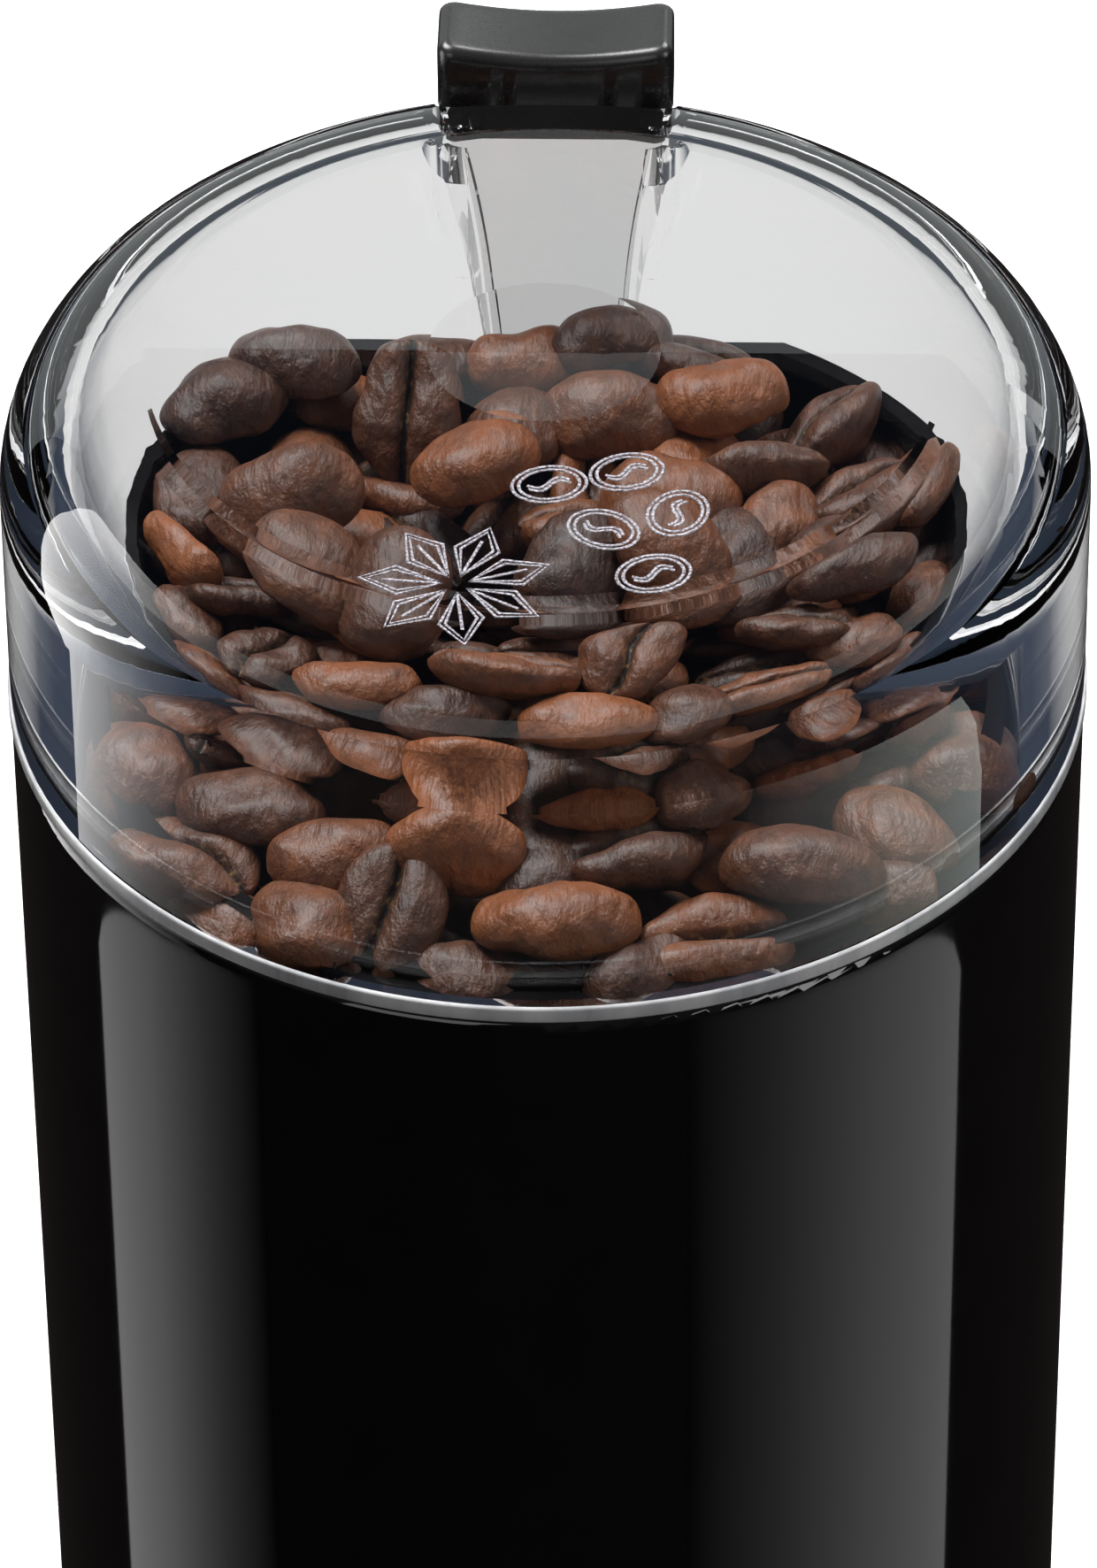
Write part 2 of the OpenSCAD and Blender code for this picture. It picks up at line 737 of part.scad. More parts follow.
// A coil wound round one pole: a rounded frame standing in two windows
module field_coil() {
    x0 = window_x[0] + coil_gap;
    x1 = window_x[1] - coil_gap;
    inner = window_y[0] + coil_gap;
    outer = window_y[1] - coil_gap;
    mid = stator_z + stack_h / 2;
    round_r = 5;
    translate([x0, 0, mid]) rotate([90, 0, 90]) difference() {
        rounded_plate(2 * outer, stack_h + 2 * coil_end, round_r, x1 - x0);
        translate([0, 0, -cut]) linear_extrude(x1 - x0 + 2 * cut)
            square([2 * inner, stack_h + 0.6], center = true);
    }
}

module field_coil_right() {
    color(COPPER) field_coil();
}

module field_coil_left() {
    color(COPPER) mirror([1, 0, 0]) field_coil();
}

module motor_screws() {
    color(SCREW_STEEL) each_post() screw(lower_bridge_z - screw_head_h, stator_top + 12);
}

module motor_dampers() {
    color(RUBBER) for (p = [[24, 0], [-24, 0], [0, 19], [0, -19]]) translate([p[0], p[1], bridge_top])
        difference() {
            cylinder(r = 4, h = carrier_z - bridge_top);
            translate([0, 0, 2.6]) ring(6, 3.1, 2.8);
        }
}

// ---------- brush gear ----------

module brush_side(s) {
    rotate(s > 0 ? 0 : 180) children();
}

module brush_holder(s) {
    hollow = brush_w / 2 + holder_clearance;
    color(BRASS) brush_side(s) difference() {
        span([-holder_w / 2, holder_y[0], brush_z - holder_w / 2],
             [holder_w / 2, holder_y[1], brush_z + holder_w / 2]);
        span([-hollow, holder_y[0] - cut, brush_z - hollow], [hollow, holder_y[1] + cut, brush_z + hollow]);
        span([-1, holder_y[0] + 4, brush_z + 1], [1, holder_y[1] - 4, brush_z + 6]);
    }
}

module brush(s) {
    tip = comm_r + brush_gap;
    color(CARBON) brush_side(s)
        span([-brush_w / 2, tip, brush_z - brush_w / 2],
             [brush_w / 2, tip + brush_l, brush_z + brush_w / 2]);
}

module brush_spring(s) {
    start = comm_r + brush_gap + brush_l + 0.35;
    color(SCREW_STEEL) brush_side(s) translate([0, start, brush_z]) rotate([-90, 0, 0])
        swept_tube(helix(1.7, holder_y[1] - start - 0.4, 6, 12), 0.22, [0, 0, 1], 6);
}

module brush_cap(s) {
    color(MATTE_BLACK) brush_side(s)
        span([-holder_w / 2, holder_y[1] + 0.05, brush_z - holder_w / 2],
             [holder_w / 2, holder_y[1] + brush_cap_t, brush_z + holder_w / 2]);
}

module brush_holder_front() { brush_holder(-1); }
module brush_holder_back() { brush_holder(1); }
module brush_front() { brush(-1); }
module brush_back() { brush(1); }
module brush_spring_front() { brush_spring(-1); }
module brush_spring_back() { brush_spring(1); }
module brush_cap_front() { brush_cap(-1); }
module brush_cap_back() { brush_cap(1); }

// ---------- switch ----------

module switch_slider() {
    bar_top = foot_bar_z + foot_bar_t;
    nib_z = foot_bar_z - nib_drop + nib_r;
    color(CREAM) union() {
        span([-slider_w / 2, slider_y[0], foot_bar_z], [slider_w / 2, slider_y[1], slider_top]);
        intersection() {
            span([spring_x - 2.8, 33.4, foot_bar_z], [nib_x + 1.4, slider_y[1], bar_top]);
            cylinder(r = 40.8, h = seam_z);
        }
        translate([nib_x, lever_y[0], nib_z]) rotate([-90, 0, 0])
            cylinder(r = nib_r, h = lever_y[1] - lever_y[0]);
        span([nib_x - nib_r, lever_y[0], nib_z], [nib_x + nib_r, lever_y[1], foot_bar_z + eps]);
        translate([spring_x, spring_y, foot_bar_z - 1.5]) cylinder(r = 1.2, h = 2);
    }
}

module slider_spring() {
    length = foot_bar_z - spring_seat_z - 2 * spring_wire_r - 0.1;
    color(STEEL) translate([spring_x, spring_y, spring_seat_z + spring_wire_r + 0.05])
        swept_tube(helix(spring_r, length, 7, 12), spring_wire_r, [0, 0, 1], 6);
}

module switch_bracket() {
    color(MATTE_BLACK) difference() {
        union() {
            span([bracket_x[0], bracket_y[0], carrier_z - 25], [bracket_x[1], bracket_y[1], carrier_z]);
            span([bracket_x[0], 25.8, carrier_z - 2], [bracket_x[1], bracket_y[0] + eps, carrier_z]);
            span([bracket_x[0], bracket_y[1] - eps, spring_seat_z - 2.5],
                 [spring_x + 2.8, 38.2, spring_seat_z]);
        }
        for (x = bracket_screw_x) translate([x, bracket_screw_y, carrier_z - 3]) cylinder(r = 1.1, h = 4);
        for (x = switch_screw_x) translate([x, bracket_y[0] - cut, switch_screw_z]) rotate([-90, 0, 0])
            cylinder(r = 0.9, h = 4);
    }
}

module bracket_screws() {
    color(SCREW_STEEL) {
        for (x = bracket_screw_x)
            translate([x, bracket_screw_y, 0]) screw(carrier_z - 3.4, carrier_z + 2.6, 1, 2, 1.4);
        for (x = switch_screw_x) translate([x, switch_y[1] + 1.2, switch_screw_z]) rotate([90, 0, 0])
            screw(0, switch_y[1] + 1.2 - bracket_y[0], 0.85, 1.6, 1.2);
    }
}

module switch_body() {
    color(GLOSS_BLACK) difference() {
        span([switch_x[0], switch_y[0], switch_top - switch_h], [switch_x[1], switch_y[1], switch_top]);
        translate([0, (lever_y[0] + lever_y[1]) / 2, switch_top - 4])
            cylinder(r = switch_button_r + 0.1, h = 6);
        for (x = switch_screw_x) translate([x, switch_y[0] - cut, switch_screw_z]) rotate([-90, 0, 0])
            cylinder(r = 0.9, h = switch_y[1] - switch_y[0] + 2 * cut);
    }
    color(GLOSS_BLACK) for (y = [lever_y[0] - 1.0, lever_y[1] + 0.2])
        difference() {
            span([lever_x - 1.2, y, switch_top - eps], [lever_x + 1.2, y + 0.8, lever_z + 1.1]);
            translate([lever_x, y - cut, lever_z]) rotate([-90, 0, 0]) cylinder(r = 0.55, h = 2);
        }
}

module switch_terminals() {
    color(BRASS) for (x = [-3, 3.2, 9.4])
        span([x - 1.2, 35.1, switch_top - switch_h - 6], [x + 1.2, 35.7, switch_top - switch_h - 0.05]);
}

module switch_lever() {
    color(STEEL) difference() {
        translate([lever_x, 0, lever_z]) rotate([0, -lever_angle, 0]) union() {
            span([0, lever_y[0], -lever_t / 2],
                 [(lever_end - lever_x) / cos(lever_angle), lever_y[1], lever_t / 2]);
            translate([0, lever_y[0], 0]) rotate([-90, 0, 0])
                cylinder(r = 0.8, h = lever_y[1] - lever_y[0]);
        }
        translate([lever_x, lever_y[0] - cut, lever_z]) rotate([-90, 0, 0])
            cylinder(r = 0.53, h = lever_y[1] - lever_y[0] + 2 * cut);
    }
}

module lever_pin() {
    color(SCREW_STEEL) translate([lever_x, lever_y[0] - 0.95, lever_z]) rotate([-90, 0, 0])
        cylinder(r = 0.5, h = lever_y[1] - lever_y[0] + 1.9);
}

module switch_button() {
    color(CREAM) translate([0, (lever_y[0] + lever_y[1]) / 2, switch_top - 1.9])
        cylinder(r = switch_button_r, h = switch_button_top - switch_top + 1.9);
}

// ---------- electrics ----------

module terminal_block() {
    color(CREAM) difference() {
        span([block_x[0], block_y[0], plate_top], [block_x[1], block_y[1], plate_top + block_h]);
        for (x = block_ways) {
            translate([x, block_y[0] - cut, plate_top + 3.5]) rotate([-90, 0, 0])
                cylinder(r = 1.5, h = block_y[1] - block_y[0] + 2 * cut);
            translate([x, (block_y[0] + block_y[1]) / 2, plate_top + 5]) cylinder(r = 1.4, h = block_h);
        }
    }
}

module suppressor_capacitor() {
    face = stator_d / 2 + 0.05;
    color([0.85, 0.68, 0.16]) span([-9, -face - 8.2, stator_z + 6], [9, -face, stator_z + 21]);
}

module thermal_fuse() {
    color(STEEL) translate([fuse_x, 0, fuse_z]) {
        translate([0, -6, 0]) rotate([-90, 0, 0]) cylinder(r = fuse_r, h = 12);
        for (s = [-1, 1])
            translate([0, s * (6 - eps), 0]) rotate([s > 0 ? -90 : 90, 0, 0]) cylinder(r = 0.4, h = 4);
    }
}

// An insulated wire along hand-placed points; ref is a direction it never runs in
module wire(points, tint, ref = [0, 1, 0.35]) {
    color(tint) swept_tube(curve(points, 5), wire_r, ref, 8);
}

module live_wire() {
    wire([[block_ways[1], block_mid, block_top], [17, 33, 37], [13, 36, 50], [10.5, 36.5, 66],
          [9.4, 35.4, terminal_low]], WIRE_BROWN);
}

module neutral_wire() {
    wire([[block_ways[0], block_mid, block_top], [12.5, 28.6, 34], [23, 27.8, 35.5], [33, 18, 41],
          [32, 8, 46],
          [coil_face, 3, 53.5]], WIRE_BLUE);
}

module switched_wire() {
    wire([[3.2, 35.4, terminal_low], [2, 36.5, 70], [-8, 36, 54], [-22, 29.5, 48], [-32, 18, 49],
          [fuse_x, 10.7, fuse_z]], WIRE_GREY, [0.35, 0.3, 1]);
}

module brush_wire_front() {
    wire([[-holder_w / 2 - 0.35, -holder_y[1] - 0.8, brush_z], [-14, -33, 43], [-28, -26, 47], [-32, -16, 51],
          [-coil_face, -13, 54.5]], WIRE_GREY, [0.3, 0.2, 1]);
}

module brush_wire_back() {
    wire([[holder_w / 2 + 0.35, holder_y[1] + 0.8, brush_z], [14, 31.5, 43.5], [26, 26, 47], [31.5, 18, 50],
          [coil_face, 12.5, 55]], WIRE_GREY, [0.3, -0.2, 1]);
}

// ---------- lid and button ----------

module lid_outer_outline() {
    square([lid_r - lid_round, lid_h]);
    square([lid_r, lid_h - lid_round]);
    translate([lid_r - lid_round, lid_h - lid_round]) circle(lid_round);
    polygon([
        [lid_r - 1, lid_lift_gap],
        [lid_foot_r - lid_foot_edge, lid_lift_gap],
        [lid_foot_r, lid_lift_gap + lid_foot_edge],
        [lid_foot_r, lid_foot_h - lid_foot_edge],
        [lid_r, lid_foot_h],
        [lid_r - 1, lid_foot_h],
    ]);
}

module lid_inner_outline() {
    square([lid_bore_r - lid_inner_round, lid_h - lid_top]);
    square([lid_bore_r, lid_h - lid_top - lid_inner_round]);
    translate([lid_bore_r - lid_inner_round, lid_h - lid_top - lid_inner_round]) circle(lid_inner_round);
}

// Half the button channel's width at a height: nearly straight below, flaring out above
function channel_half(z) = channel_w / 2 + channel_flare * pow(max(z, 0) / channel_flare_h, 2);

// A block between two y planes whose sides follow the channel's flare, shifted by dz
module channel_block(y0, y1, grow, low, high, dz = 0) {
    steps = 12;
    side = [for (i = [0:steps]) let (z = low + (high - low) * i / steps) [channel_half(z + dz) + grow, z]];
    translate([0, y1, 0]) rotate([90, 0, 0]) linear_extrude(y1 - y0)
        polygon(concat(side, [for (i = [steps:-1:0]) [-side[i][0], side[i][1]]]));
}

// The walls round the button's pocket: they leave the channel's sides and widen upwards
module pocket_walls() {
    wide = pocket_w / 2 + channel_side;
    narrow = neck_w / 2 + channel_side;
    edge = [
        [channel_half(pocket_rise), pocket_rise],
        [narrow, pocket_floor - channel_side],
        [narrow, step_floor - 2 * channel_side],
        [wide, step_floor - channel_side],
        [wide, lid_h],
    ];
    intersection() {
        translate([0, lid_r, 0]) rotate([90, 0, 0]) linear_extrude(lid_r - channel_front)
            polygon(concat(edge, [for (i = [len(edge) - 1:-1:0]) [-edge[i][0], edge[i][1]]]));
        translate([0, channel_front + lid_r / 2, 0]) rounded_plate(2 * wide, lid_r, pocket_round, lid_h);
    }
}

module lid_channel_walls() {
    intersection() {
        rotate_extrude($fn = 180) lid_outer_outline();
        union() {
            channel_block(channel_front, lid_r, 0, 0, pocket_rise + eps);
            pocket_walls();
        }
    }
}

// A stretch of the pocket, of a width and from a height up, with rounded front corners
module pocket_cut(w, low) {
    translate([0, pocket_y + lid_r / 2, low]) rounded_plate(w, lid_r, pocket_corner, lid_h + 1 - low);
}

module lid_shell() {
    color(CLEAR) translate([0, 0, seam_z]) difference() {
        union() {
            difference() {
                rotate_extrude($fn = 180) lid_outer_outline();
                rotate_extrude($fn = 180) lid_inner_outline();
                translate([0, 0, -cut]) cylinder(r = lid_bore_r, h = 2 * cut);
            }
            lid_channel_walls();
        }
        translate([0, 0, -1]) cylinder(r = lid_r + 1, h = 1 + lid_lift_gap);
        channel_block(pocket_y, lip_y, -channel_side, -1, pocket_floor + eps);
        channel_block(lip_y - eps, lid_r + 1, -channel_side - channel_lip, -1, pocket_floor + eps);
        pocket_cut(neck_w, pocket_floor);
        pocket_cut(pocket_w, step_floor);
        translate([0, 0, lid_h - dimple_depth + dimple_ball_r]) sphere(dimple_ball_r, $fn = 180);
    }
}

module press_button() {
    mid_y = (cap_y[0] + cap_y[1]) / 2;
    dish_r = (pow(button_w / 2, 2) + pow(cap_dish, 2)) / (2 * cap_dish);
    color(GLOSS_BLACK) difference() {
        union() {
            translate([0, mid_y, cap_z])
                rounded_plate(button_w - 2 * step_side, cap_y[1] - cap_y[0], cap_corner, button_h);
            translate([0, mid_y, seam_z + lid_h - step_drop])
                rounded_plate(button_w, cap_y[1] - cap_y[0], cap_corner, button_proud + step_drop);
        }
        translate([0, cap_y[0] - 1, cap_z + button_h - cap_dish + dish_r]) rotate([-90, 0, 0])
            cylinder(r = dish_r, h = cap_y[1] - cap_y[0] + 2, $fn = 180);
        span([-head_half - 0.1, tongue_y[0] - 0.1, cap_z - cut],
             [head_half + 0.1, tongue_y[1] + 0.1, cap_z + head_h + 0.1]);
    }
}

module push_tongue() {
    slack = gap + 0.1;
    top = cap_z - seam_z;
    color(CLEAR) union() {
        translate([0, 0, seam_z])
            channel_block(tongue_y[0], tongue_y[1], -channel_side - slack, tongue_floor, top,
                          -button_travel);
        span([-head_half, tongue_y[0], seam_z + top - eps],
             [head_half, tongue_y[1], seam_z + top + head_h]);
        span([-pin_w / 2, pin_y[0], pin_floor], [pin_w / 2, pin_y[1], seam_z + tongue_floor + eps]);
    }
}

housing();
base_cover();
rubber_feet();
base_screws();
cord_inlet_bush();
chamber_collar();
bowl_carrier();
carrier_screws();
grinding_bowl();
bowl_clamp_ring();
shaft_seal();
blade();
blade_hub();
blade_cap_nut();
motor_shaft();
armature_core();
armature_winding();
commutator();
motor_fan();
retaining_clip();
thrust_washer();
upper_bearing();
lower_bearing();
upper_bridge();
lower_bridge();
stator_core();
field_coil_left();
field_coil_right();
motor_screws();
motor_dampers();
brush_holder_front();
brush_holder_back();
brush_front();
brush_back();
brush_spring_front();
brush_spring_back();
brush_cap_front();
brush_cap_back();
switch_slider();
slider_spring();
switch_bracket();
bracket_screws();
switch_body();
switch_terminals();
switch_lever();
lever_pin();
switch_button();
terminal_block();
suppressor_capacitor();
thermal_fuse();
live_wire();
neutral_wire();
switched_wire();
brush_wire_front();
brush_wire_back();
lid_shell();
press_button();
push_tongue();
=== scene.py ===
import json
from math import cos, hypot, pi, radians, sin, sqrt, tan
from random import Random

import bpy
import numpy as np
from mathutils import Matrix, Vector

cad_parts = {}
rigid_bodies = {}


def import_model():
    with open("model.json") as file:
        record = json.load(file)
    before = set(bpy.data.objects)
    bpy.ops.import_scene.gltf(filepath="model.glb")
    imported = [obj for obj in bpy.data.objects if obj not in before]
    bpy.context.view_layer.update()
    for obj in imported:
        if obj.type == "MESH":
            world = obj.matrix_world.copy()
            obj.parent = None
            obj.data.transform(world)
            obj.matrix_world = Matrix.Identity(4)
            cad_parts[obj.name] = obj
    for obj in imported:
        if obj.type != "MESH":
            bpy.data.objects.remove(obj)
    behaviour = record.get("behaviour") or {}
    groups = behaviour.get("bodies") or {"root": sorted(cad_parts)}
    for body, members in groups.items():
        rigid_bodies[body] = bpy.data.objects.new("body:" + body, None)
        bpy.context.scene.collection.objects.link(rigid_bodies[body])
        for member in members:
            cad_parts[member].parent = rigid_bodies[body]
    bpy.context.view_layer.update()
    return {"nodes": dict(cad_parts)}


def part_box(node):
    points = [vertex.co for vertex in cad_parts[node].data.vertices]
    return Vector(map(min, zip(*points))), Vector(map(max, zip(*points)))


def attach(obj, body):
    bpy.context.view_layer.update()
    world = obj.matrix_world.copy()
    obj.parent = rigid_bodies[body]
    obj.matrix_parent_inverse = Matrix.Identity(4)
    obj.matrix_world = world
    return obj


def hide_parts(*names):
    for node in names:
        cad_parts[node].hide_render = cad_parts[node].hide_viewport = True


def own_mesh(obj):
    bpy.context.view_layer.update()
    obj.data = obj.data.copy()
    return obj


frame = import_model()

# Driving places, in metres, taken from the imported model.
MM = 0.001
HOUSING_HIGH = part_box("housing")[1]
LID_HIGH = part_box("lid_shell")[1]
SEAM = HOUSING_HIGH.z
BODY_R = HOUSING_HIGH.x
LID_TOP = LID_HIGH.z


# ---------- camera ----------

EYE_AZIMUTH = radians(1.84)
EYE_ELEVATION = radians(38.19)
EYE_DISTANCE = 0.799
TILT_DOWN = radians(0.618)
ROLL = radians(-0.596)
LENS = 224.17


def eye_point():
    side = cos(EYE_ELEVATION)
    return Vector((0, 0, SEAM)) + EYE_DISTANCE * Vector(
        (sin(EYE_AZIMUTH) * side, -cos(EYE_AZIMUTH) * side, sin(EYE_ELEVATION)))


def make_camera():
    camera = bpy.data.objects.new("camera", bpy.data.cameras.new("camera"))
    bpy.context.scene.collection.objects.link(camera)
    camera.data.lens = LENS
    camera.data.clip_start = 0.05
    camera.data.clip_end = 20
    eye = eye_point()
    look = (Vector((0, 0, SEAM)) - eye).to_track_quat("-Z", "Y").to_matrix().to_4x4()
    turn = Matrix.Rotation(-TILT_DOWN, 4, "X") @ Matrix.Rotation(ROLL, 4, "Z")
    camera.matrix_world = Matrix.Translation(eye) @ look @ turn
    bpy.context.scene.camera = camera


# ---------- mesh helpers ----------

def mesh_object(name, points, faces, smooth=True):
    mesh = bpy.data.meshes.new(name)
    mesh.from_pydata([tuple(p) for p in points], [], faces)
    mesh.validate()
    mesh.update()
    if smooth:
        mesh.polygons.foreach_set("use_smooth", [True] * len(mesh.polygons))
    piece = bpy.data.objects.new(name, mesh)
    bpy.context.scene.collection.objects.link(piece)
    return piece


def grid_faces(rows, columns, close=False):
    last = columns if close else columns - 1
    return [(r * columns + c, r * columns + (c + 1) % columns,
             (r + 1) * columns + (c + 1) % columns, (r + 1) * columns + c)
            for r in range(rows - 1) for c in range(last)]


def turned(profile, turns):
    """Points round the Z axis for each (radius, height) of the profile."""
    return [(r * cos(2 * pi * t / turns), r * sin(2 * pi * t / turns), z)
            for r, z in profile for t in range(turns)]


# ---------- material helpers ----------

EVEN = (1, 1, 1)
PLASTIC_IOR = 1.5


def new_material(name):
    material = bpy.data.materials.new(name)
    material.use_nodes = True
    return material, material.node_tree, material.node_tree.nodes["Principled BSDF"]


def put(tree, kind, links=(), **values):
    """Adds a node, sets its properties and sockets, and links (socket, source) pairs."""
    node = tree.nodes.new(kind)
    for key, value in values.items():
        if hasattr(node, key):
            setattr(node, key, value)
        else:
            node.inputs[key.replace("_", " ")].default_value = value
    for socket, source in links:
        tree.links.new(source, node.inputs[socket])
    return node


def noise(tree, size, detail=3.0, stretch=EVEN):
    """Noise whose features are about size metres across."""
    where = put(tree, "ShaderNodeTexCoord").outputs["Object"]
    scaled = put(tree, "ShaderNodeMapping", [("Vector", where)], Scale=stretch).outputs["Vector"]
    return put(tree, "ShaderNodeTexNoise", [("Vector", scaled)], Scale=1 / size, Detail=detail).outputs["Fac"]


def ramp(tree, factor, stops):
    """Colour ramp. Each stop is (position, grey) or (position, (r, g, b))."""
    node = put(tree, "ShaderNodeValToRGB", [("Fac", factor)])
    elements = node.color_ramp.elements
    while len(elements) < len(stops):
        elements.new(0.5)
    for element, (position, colour) in zip(elements, stops):
        element.position = position
        rgb = (colour,) * 3 if isinstance(colour, (int, float)) else colour
        element.color = (*rgb, 1)
    return node.outputs["Color"]


def spread(tree, factor, low, high):
    return put(tree, "ShaderNodeMapRange", [("Value", factor)], To_Min=low, To_Max=high).outputs["Result"]


def bump(tree, height, depth, strength=1.0, normal=None):
    links = [("Height", height)] + ([("Normal", normal)] if normal else [])
    return put(tree, "ShaderNodeBump", links, Strength=strength, Distance=depth).outputs["Normal"]


def feed(tree, shader, **sources):
    for key, source in sources.items():
        tree.links.new(source, shader.inputs[key.replace("_", " ")])


def dress(name, dark, light, rough, grain, depth, metal=0, stretch=EVEN):
    """A surface whose colour varies from dark to light in blotches, whose roughness varies from rough[0] to
    rough[1], and which has a grain of that size and depth, in metres."""
    blotch_size = grain * 12
    material, tree, shader = new_material(name)
    shader.inputs["Metallic"].default_value = metal
    shader.inputs["IOR"].default_value = PLASTIC_IOR
    blotch = noise(tree, blotch_size)
    fine = noise(tree, grain, 4.0, stretch)
    feed(tree, shader,
         Base_Color=ramp(tree, blotch, [(0.3, dark), (0.7, light)]),
         Roughness=spread(tree, fine, *rough),
         Normal=bump(tree, fine, depth))
    return material


# ---------- stage ----------

def emitter(name, points, faces, glow, seen_by=("glossy",), uv=None, rise=None):
    """A light panel. glow is one colour, or a list of (position, colour) stops across the panel's U, and rise
    is a list of (position, strength) stops up its V."""
    panel = mesh_object(name, points, faces, smooth=False)
    material, tree, shader = new_material(name)
    material.cycles.emission_sampling = "NONE"
    tree.nodes.remove(shader)
    lamp = put(tree, "ShaderNodeEmission")
    if uv is None:
        lamp.inputs["Color"].default_value = (*glow, 1)
    else:
        layer = panel.data.uv_layers.new(name="across")
        for loop in panel.data.loops:
            layer.data[loop.index].uv = uv[loop.vertex_index]
        where = put(tree, "ShaderNodeUVMap", uv_map="across")
        split = put(tree, "ShaderNodeSeparateXYZ", [("Vector", where.outputs["UV"])])
        tree.links.new(ramp(tree, split.outputs["X"], glow), lamp.inputs["Color"])
        if rise:
            tree.links.new(ramp(tree, split.outputs["Y"], rise), lamp.inputs["Strength"])
    tree.links.new(lamp.outputs["Emission"], tree.nodes["Material Output"].inputs["Surface"])
    panel.data.materials.append(material)
    for ray in ("camera", "diffuse", "glossy", "transmission", "shadow"):
        setattr(panel, "visible_" + ray, ray in seen_by)


def floor_material(name, glow):
    material, tree, shader = new_material(name)
    shader.inputs["Roughness"].default_value = 0.9
    shader.inputs["Emission Color"].default_value = (1, 1, 1, 1)
    shader.inputs["Emission Strength"].default_value = glow
    feed(tree, shader, Base_Color=ramp(tree, noise(tree, 0.02), [(0.3, 0.78), (0.7, 0.8)]))
    return material


STAGE_TURNS = 96


def make_floor():
    """A pale floor disc round the object, and a wide cove beyond it that rises to a wall."""
    floor_r, cove_r, bend_r, wall_h = 0.6, 6.0, 1.5, 7.0
    floor_glow, cove_glow = 0.82, 0.93

    def rings(name, profile, glow):
        points = turned(profile, STAGE_TURNS)
        piece = mesh_object(name, points, grid_faces(len(profile), STAGE_TURNS, close=True))
        piece.data.materials.append(floor_material(name, glow))
        piece.visible_glossy = False
        piece.visible_diffuse = False
        piece.visible_transmission = False
        return piece

    rings("floor", [(0.0005, 0), (0.1, 0), (0.3, 0), (floor_r, 0)], floor_glow)
    bend = [(cove_r + bend_r * sin(a), bend_r * (1 - cos(a))) for a in np.linspace(0, pi / 2, 9)]
    cove = rings("cove", [(floor_r, 0)] + bend + [(cove_r + bend_r, wall_h)], cove_glow)
    cove.visible_shadow = False


def make_clear_backing():
    """What the clear parts show through themselves: a ring on the floor that is bright behind the object,
    dark at its sides and dim in front of it, and a bright ring beyond."""
    white, navy, night, dim = 0.86, (0.06, 0.075, 0.11), (0.025, 0.033, 0.05), 0.07
    inner_r, near_r, middle_r, far_r, lift = 0.05, 0.5, 1.5, 6.0, 0.0002

    def ring(name, radii, glow):
        """glow runs from behind the object, at 0, to in front of it, at 1."""
        points, uv = [], []
        for r in radii:
            for t in range(STAGE_TURNS):
                turn = 2 * pi * t / STAGE_TURNS - pi
                points.append((r * sin(turn), r * cos(turn), lift))
                uv.append((abs(turn) / pi, 0))
        faces = grid_faces(len(radii), STAGE_TURNS, close=True)
        emitter(name, points, faces, glow, seen_by=("transmission",), uv=uv)

    ring("near_backing", (inner_r, 0.2, near_r),
         [(0.0, white), (0.14, white), (0.25, navy), (0.6, night), (1.0, dim)])
    ring("far_backing", (near_r, middle_r, far_r), [(0.0, white), (1.0, white)])


def mirror_hit(azimuth, height, reach):
    """Where the camera's line of sight lands after the housing's side throws it back. The landing place is on
    an upright cylinder of radius reach."""
    outward = Vector((sin(azimuth), -cos(azimuth), 0))
    point = outward * BODY_R + Vector((0, 0, height))
    ray = (point - eye_point()).normalized()
    ray -= 2 * ray.dot(outward) * outward
    flat = ray.xy.length
    along = point.xy.dot(ray.xy) / flat
    run = -along + sqrt(along * along - BODY_R ** 2 + reach ** 2)
    return point + ray * (run / flat)


def side_softbox(name, sharp, soft, low, high, glow, corner=0.006, rise=None):
    """A curved softbox beside the object. It is seen in the housing from azimuth sharp, its clean edge, to
    azimuth soft, where it has faded out, both in degrees, and between two heights. Its clean corners are
    rounded."""
    sharp, soft = radians(sharp), radians(soft)
    columns, rows, reach = 28, 14, 0.16
    points, uv = [], []
    for r in range(rows):
        for c in range(columns):
            across = c / (columns - 1)
            turn = sharp + (soft - sharp) * across
            inset = abs(turn - sharp) * BODY_R
            cut = corner - sqrt(max(0.0, corner ** 2 - max(0.0, corner - inset) ** 2))
            top = high - cut
            points.append(mirror_hit(turn, low + (top - low) * r / (rows - 1), reach))
            uv.append((across, r / (rows - 1)))
    emitter(name, points, grid_faces(rows, columns), glow, uv=uv, rise=rise)


def area_light(name, place_at, target, size, power):
    data = bpy.data.lights.new(name, "AREA")
    data.shape = "RECTANGLE"
    data.size, data.size_y = size
    data.energy = power
    lamp = bpy.data.objects.new(name, data)
    bpy.context.scene.collection.objects.link(lamp)
    lamp.location = place_at
    lamp.rotation_euler = (Vector(target) - Vector(place_at)).to_track_quat("-Z", "Y").to_euler()
    lamp.visible_camera = False
    lamp.visible_transmission = False
    return lamp


def make_world():
    """Nearly black for everything but what the clear parts show through, which is a deep blue."""
    world = bpy.data.worlds.new("studio")
    bpy.context.scene.world = world
    world.use_nodes = True
    tree = world.node_tree
    dark = tree.nodes["Background"]
    dark.inputs["Color"].default_value = (0.014, 0.011, 0.011, 1)
    blue = put(tree, "ShaderNodeBackground", Color=(0.022, 0.031, 0.048, 1))
    path = put(tree, "ShaderNodeLightPath")
    both = put(tree, "ShaderNodeMixShader",
               [(0, path.outputs["Is Transmission Ray"]), (1, dark.outputs["Background"]),
                (2, blue.outputs["Background"])])
    tree.links.new(both.outputs["Shader"], tree.nodes["World Output"].inputs["Surface"])


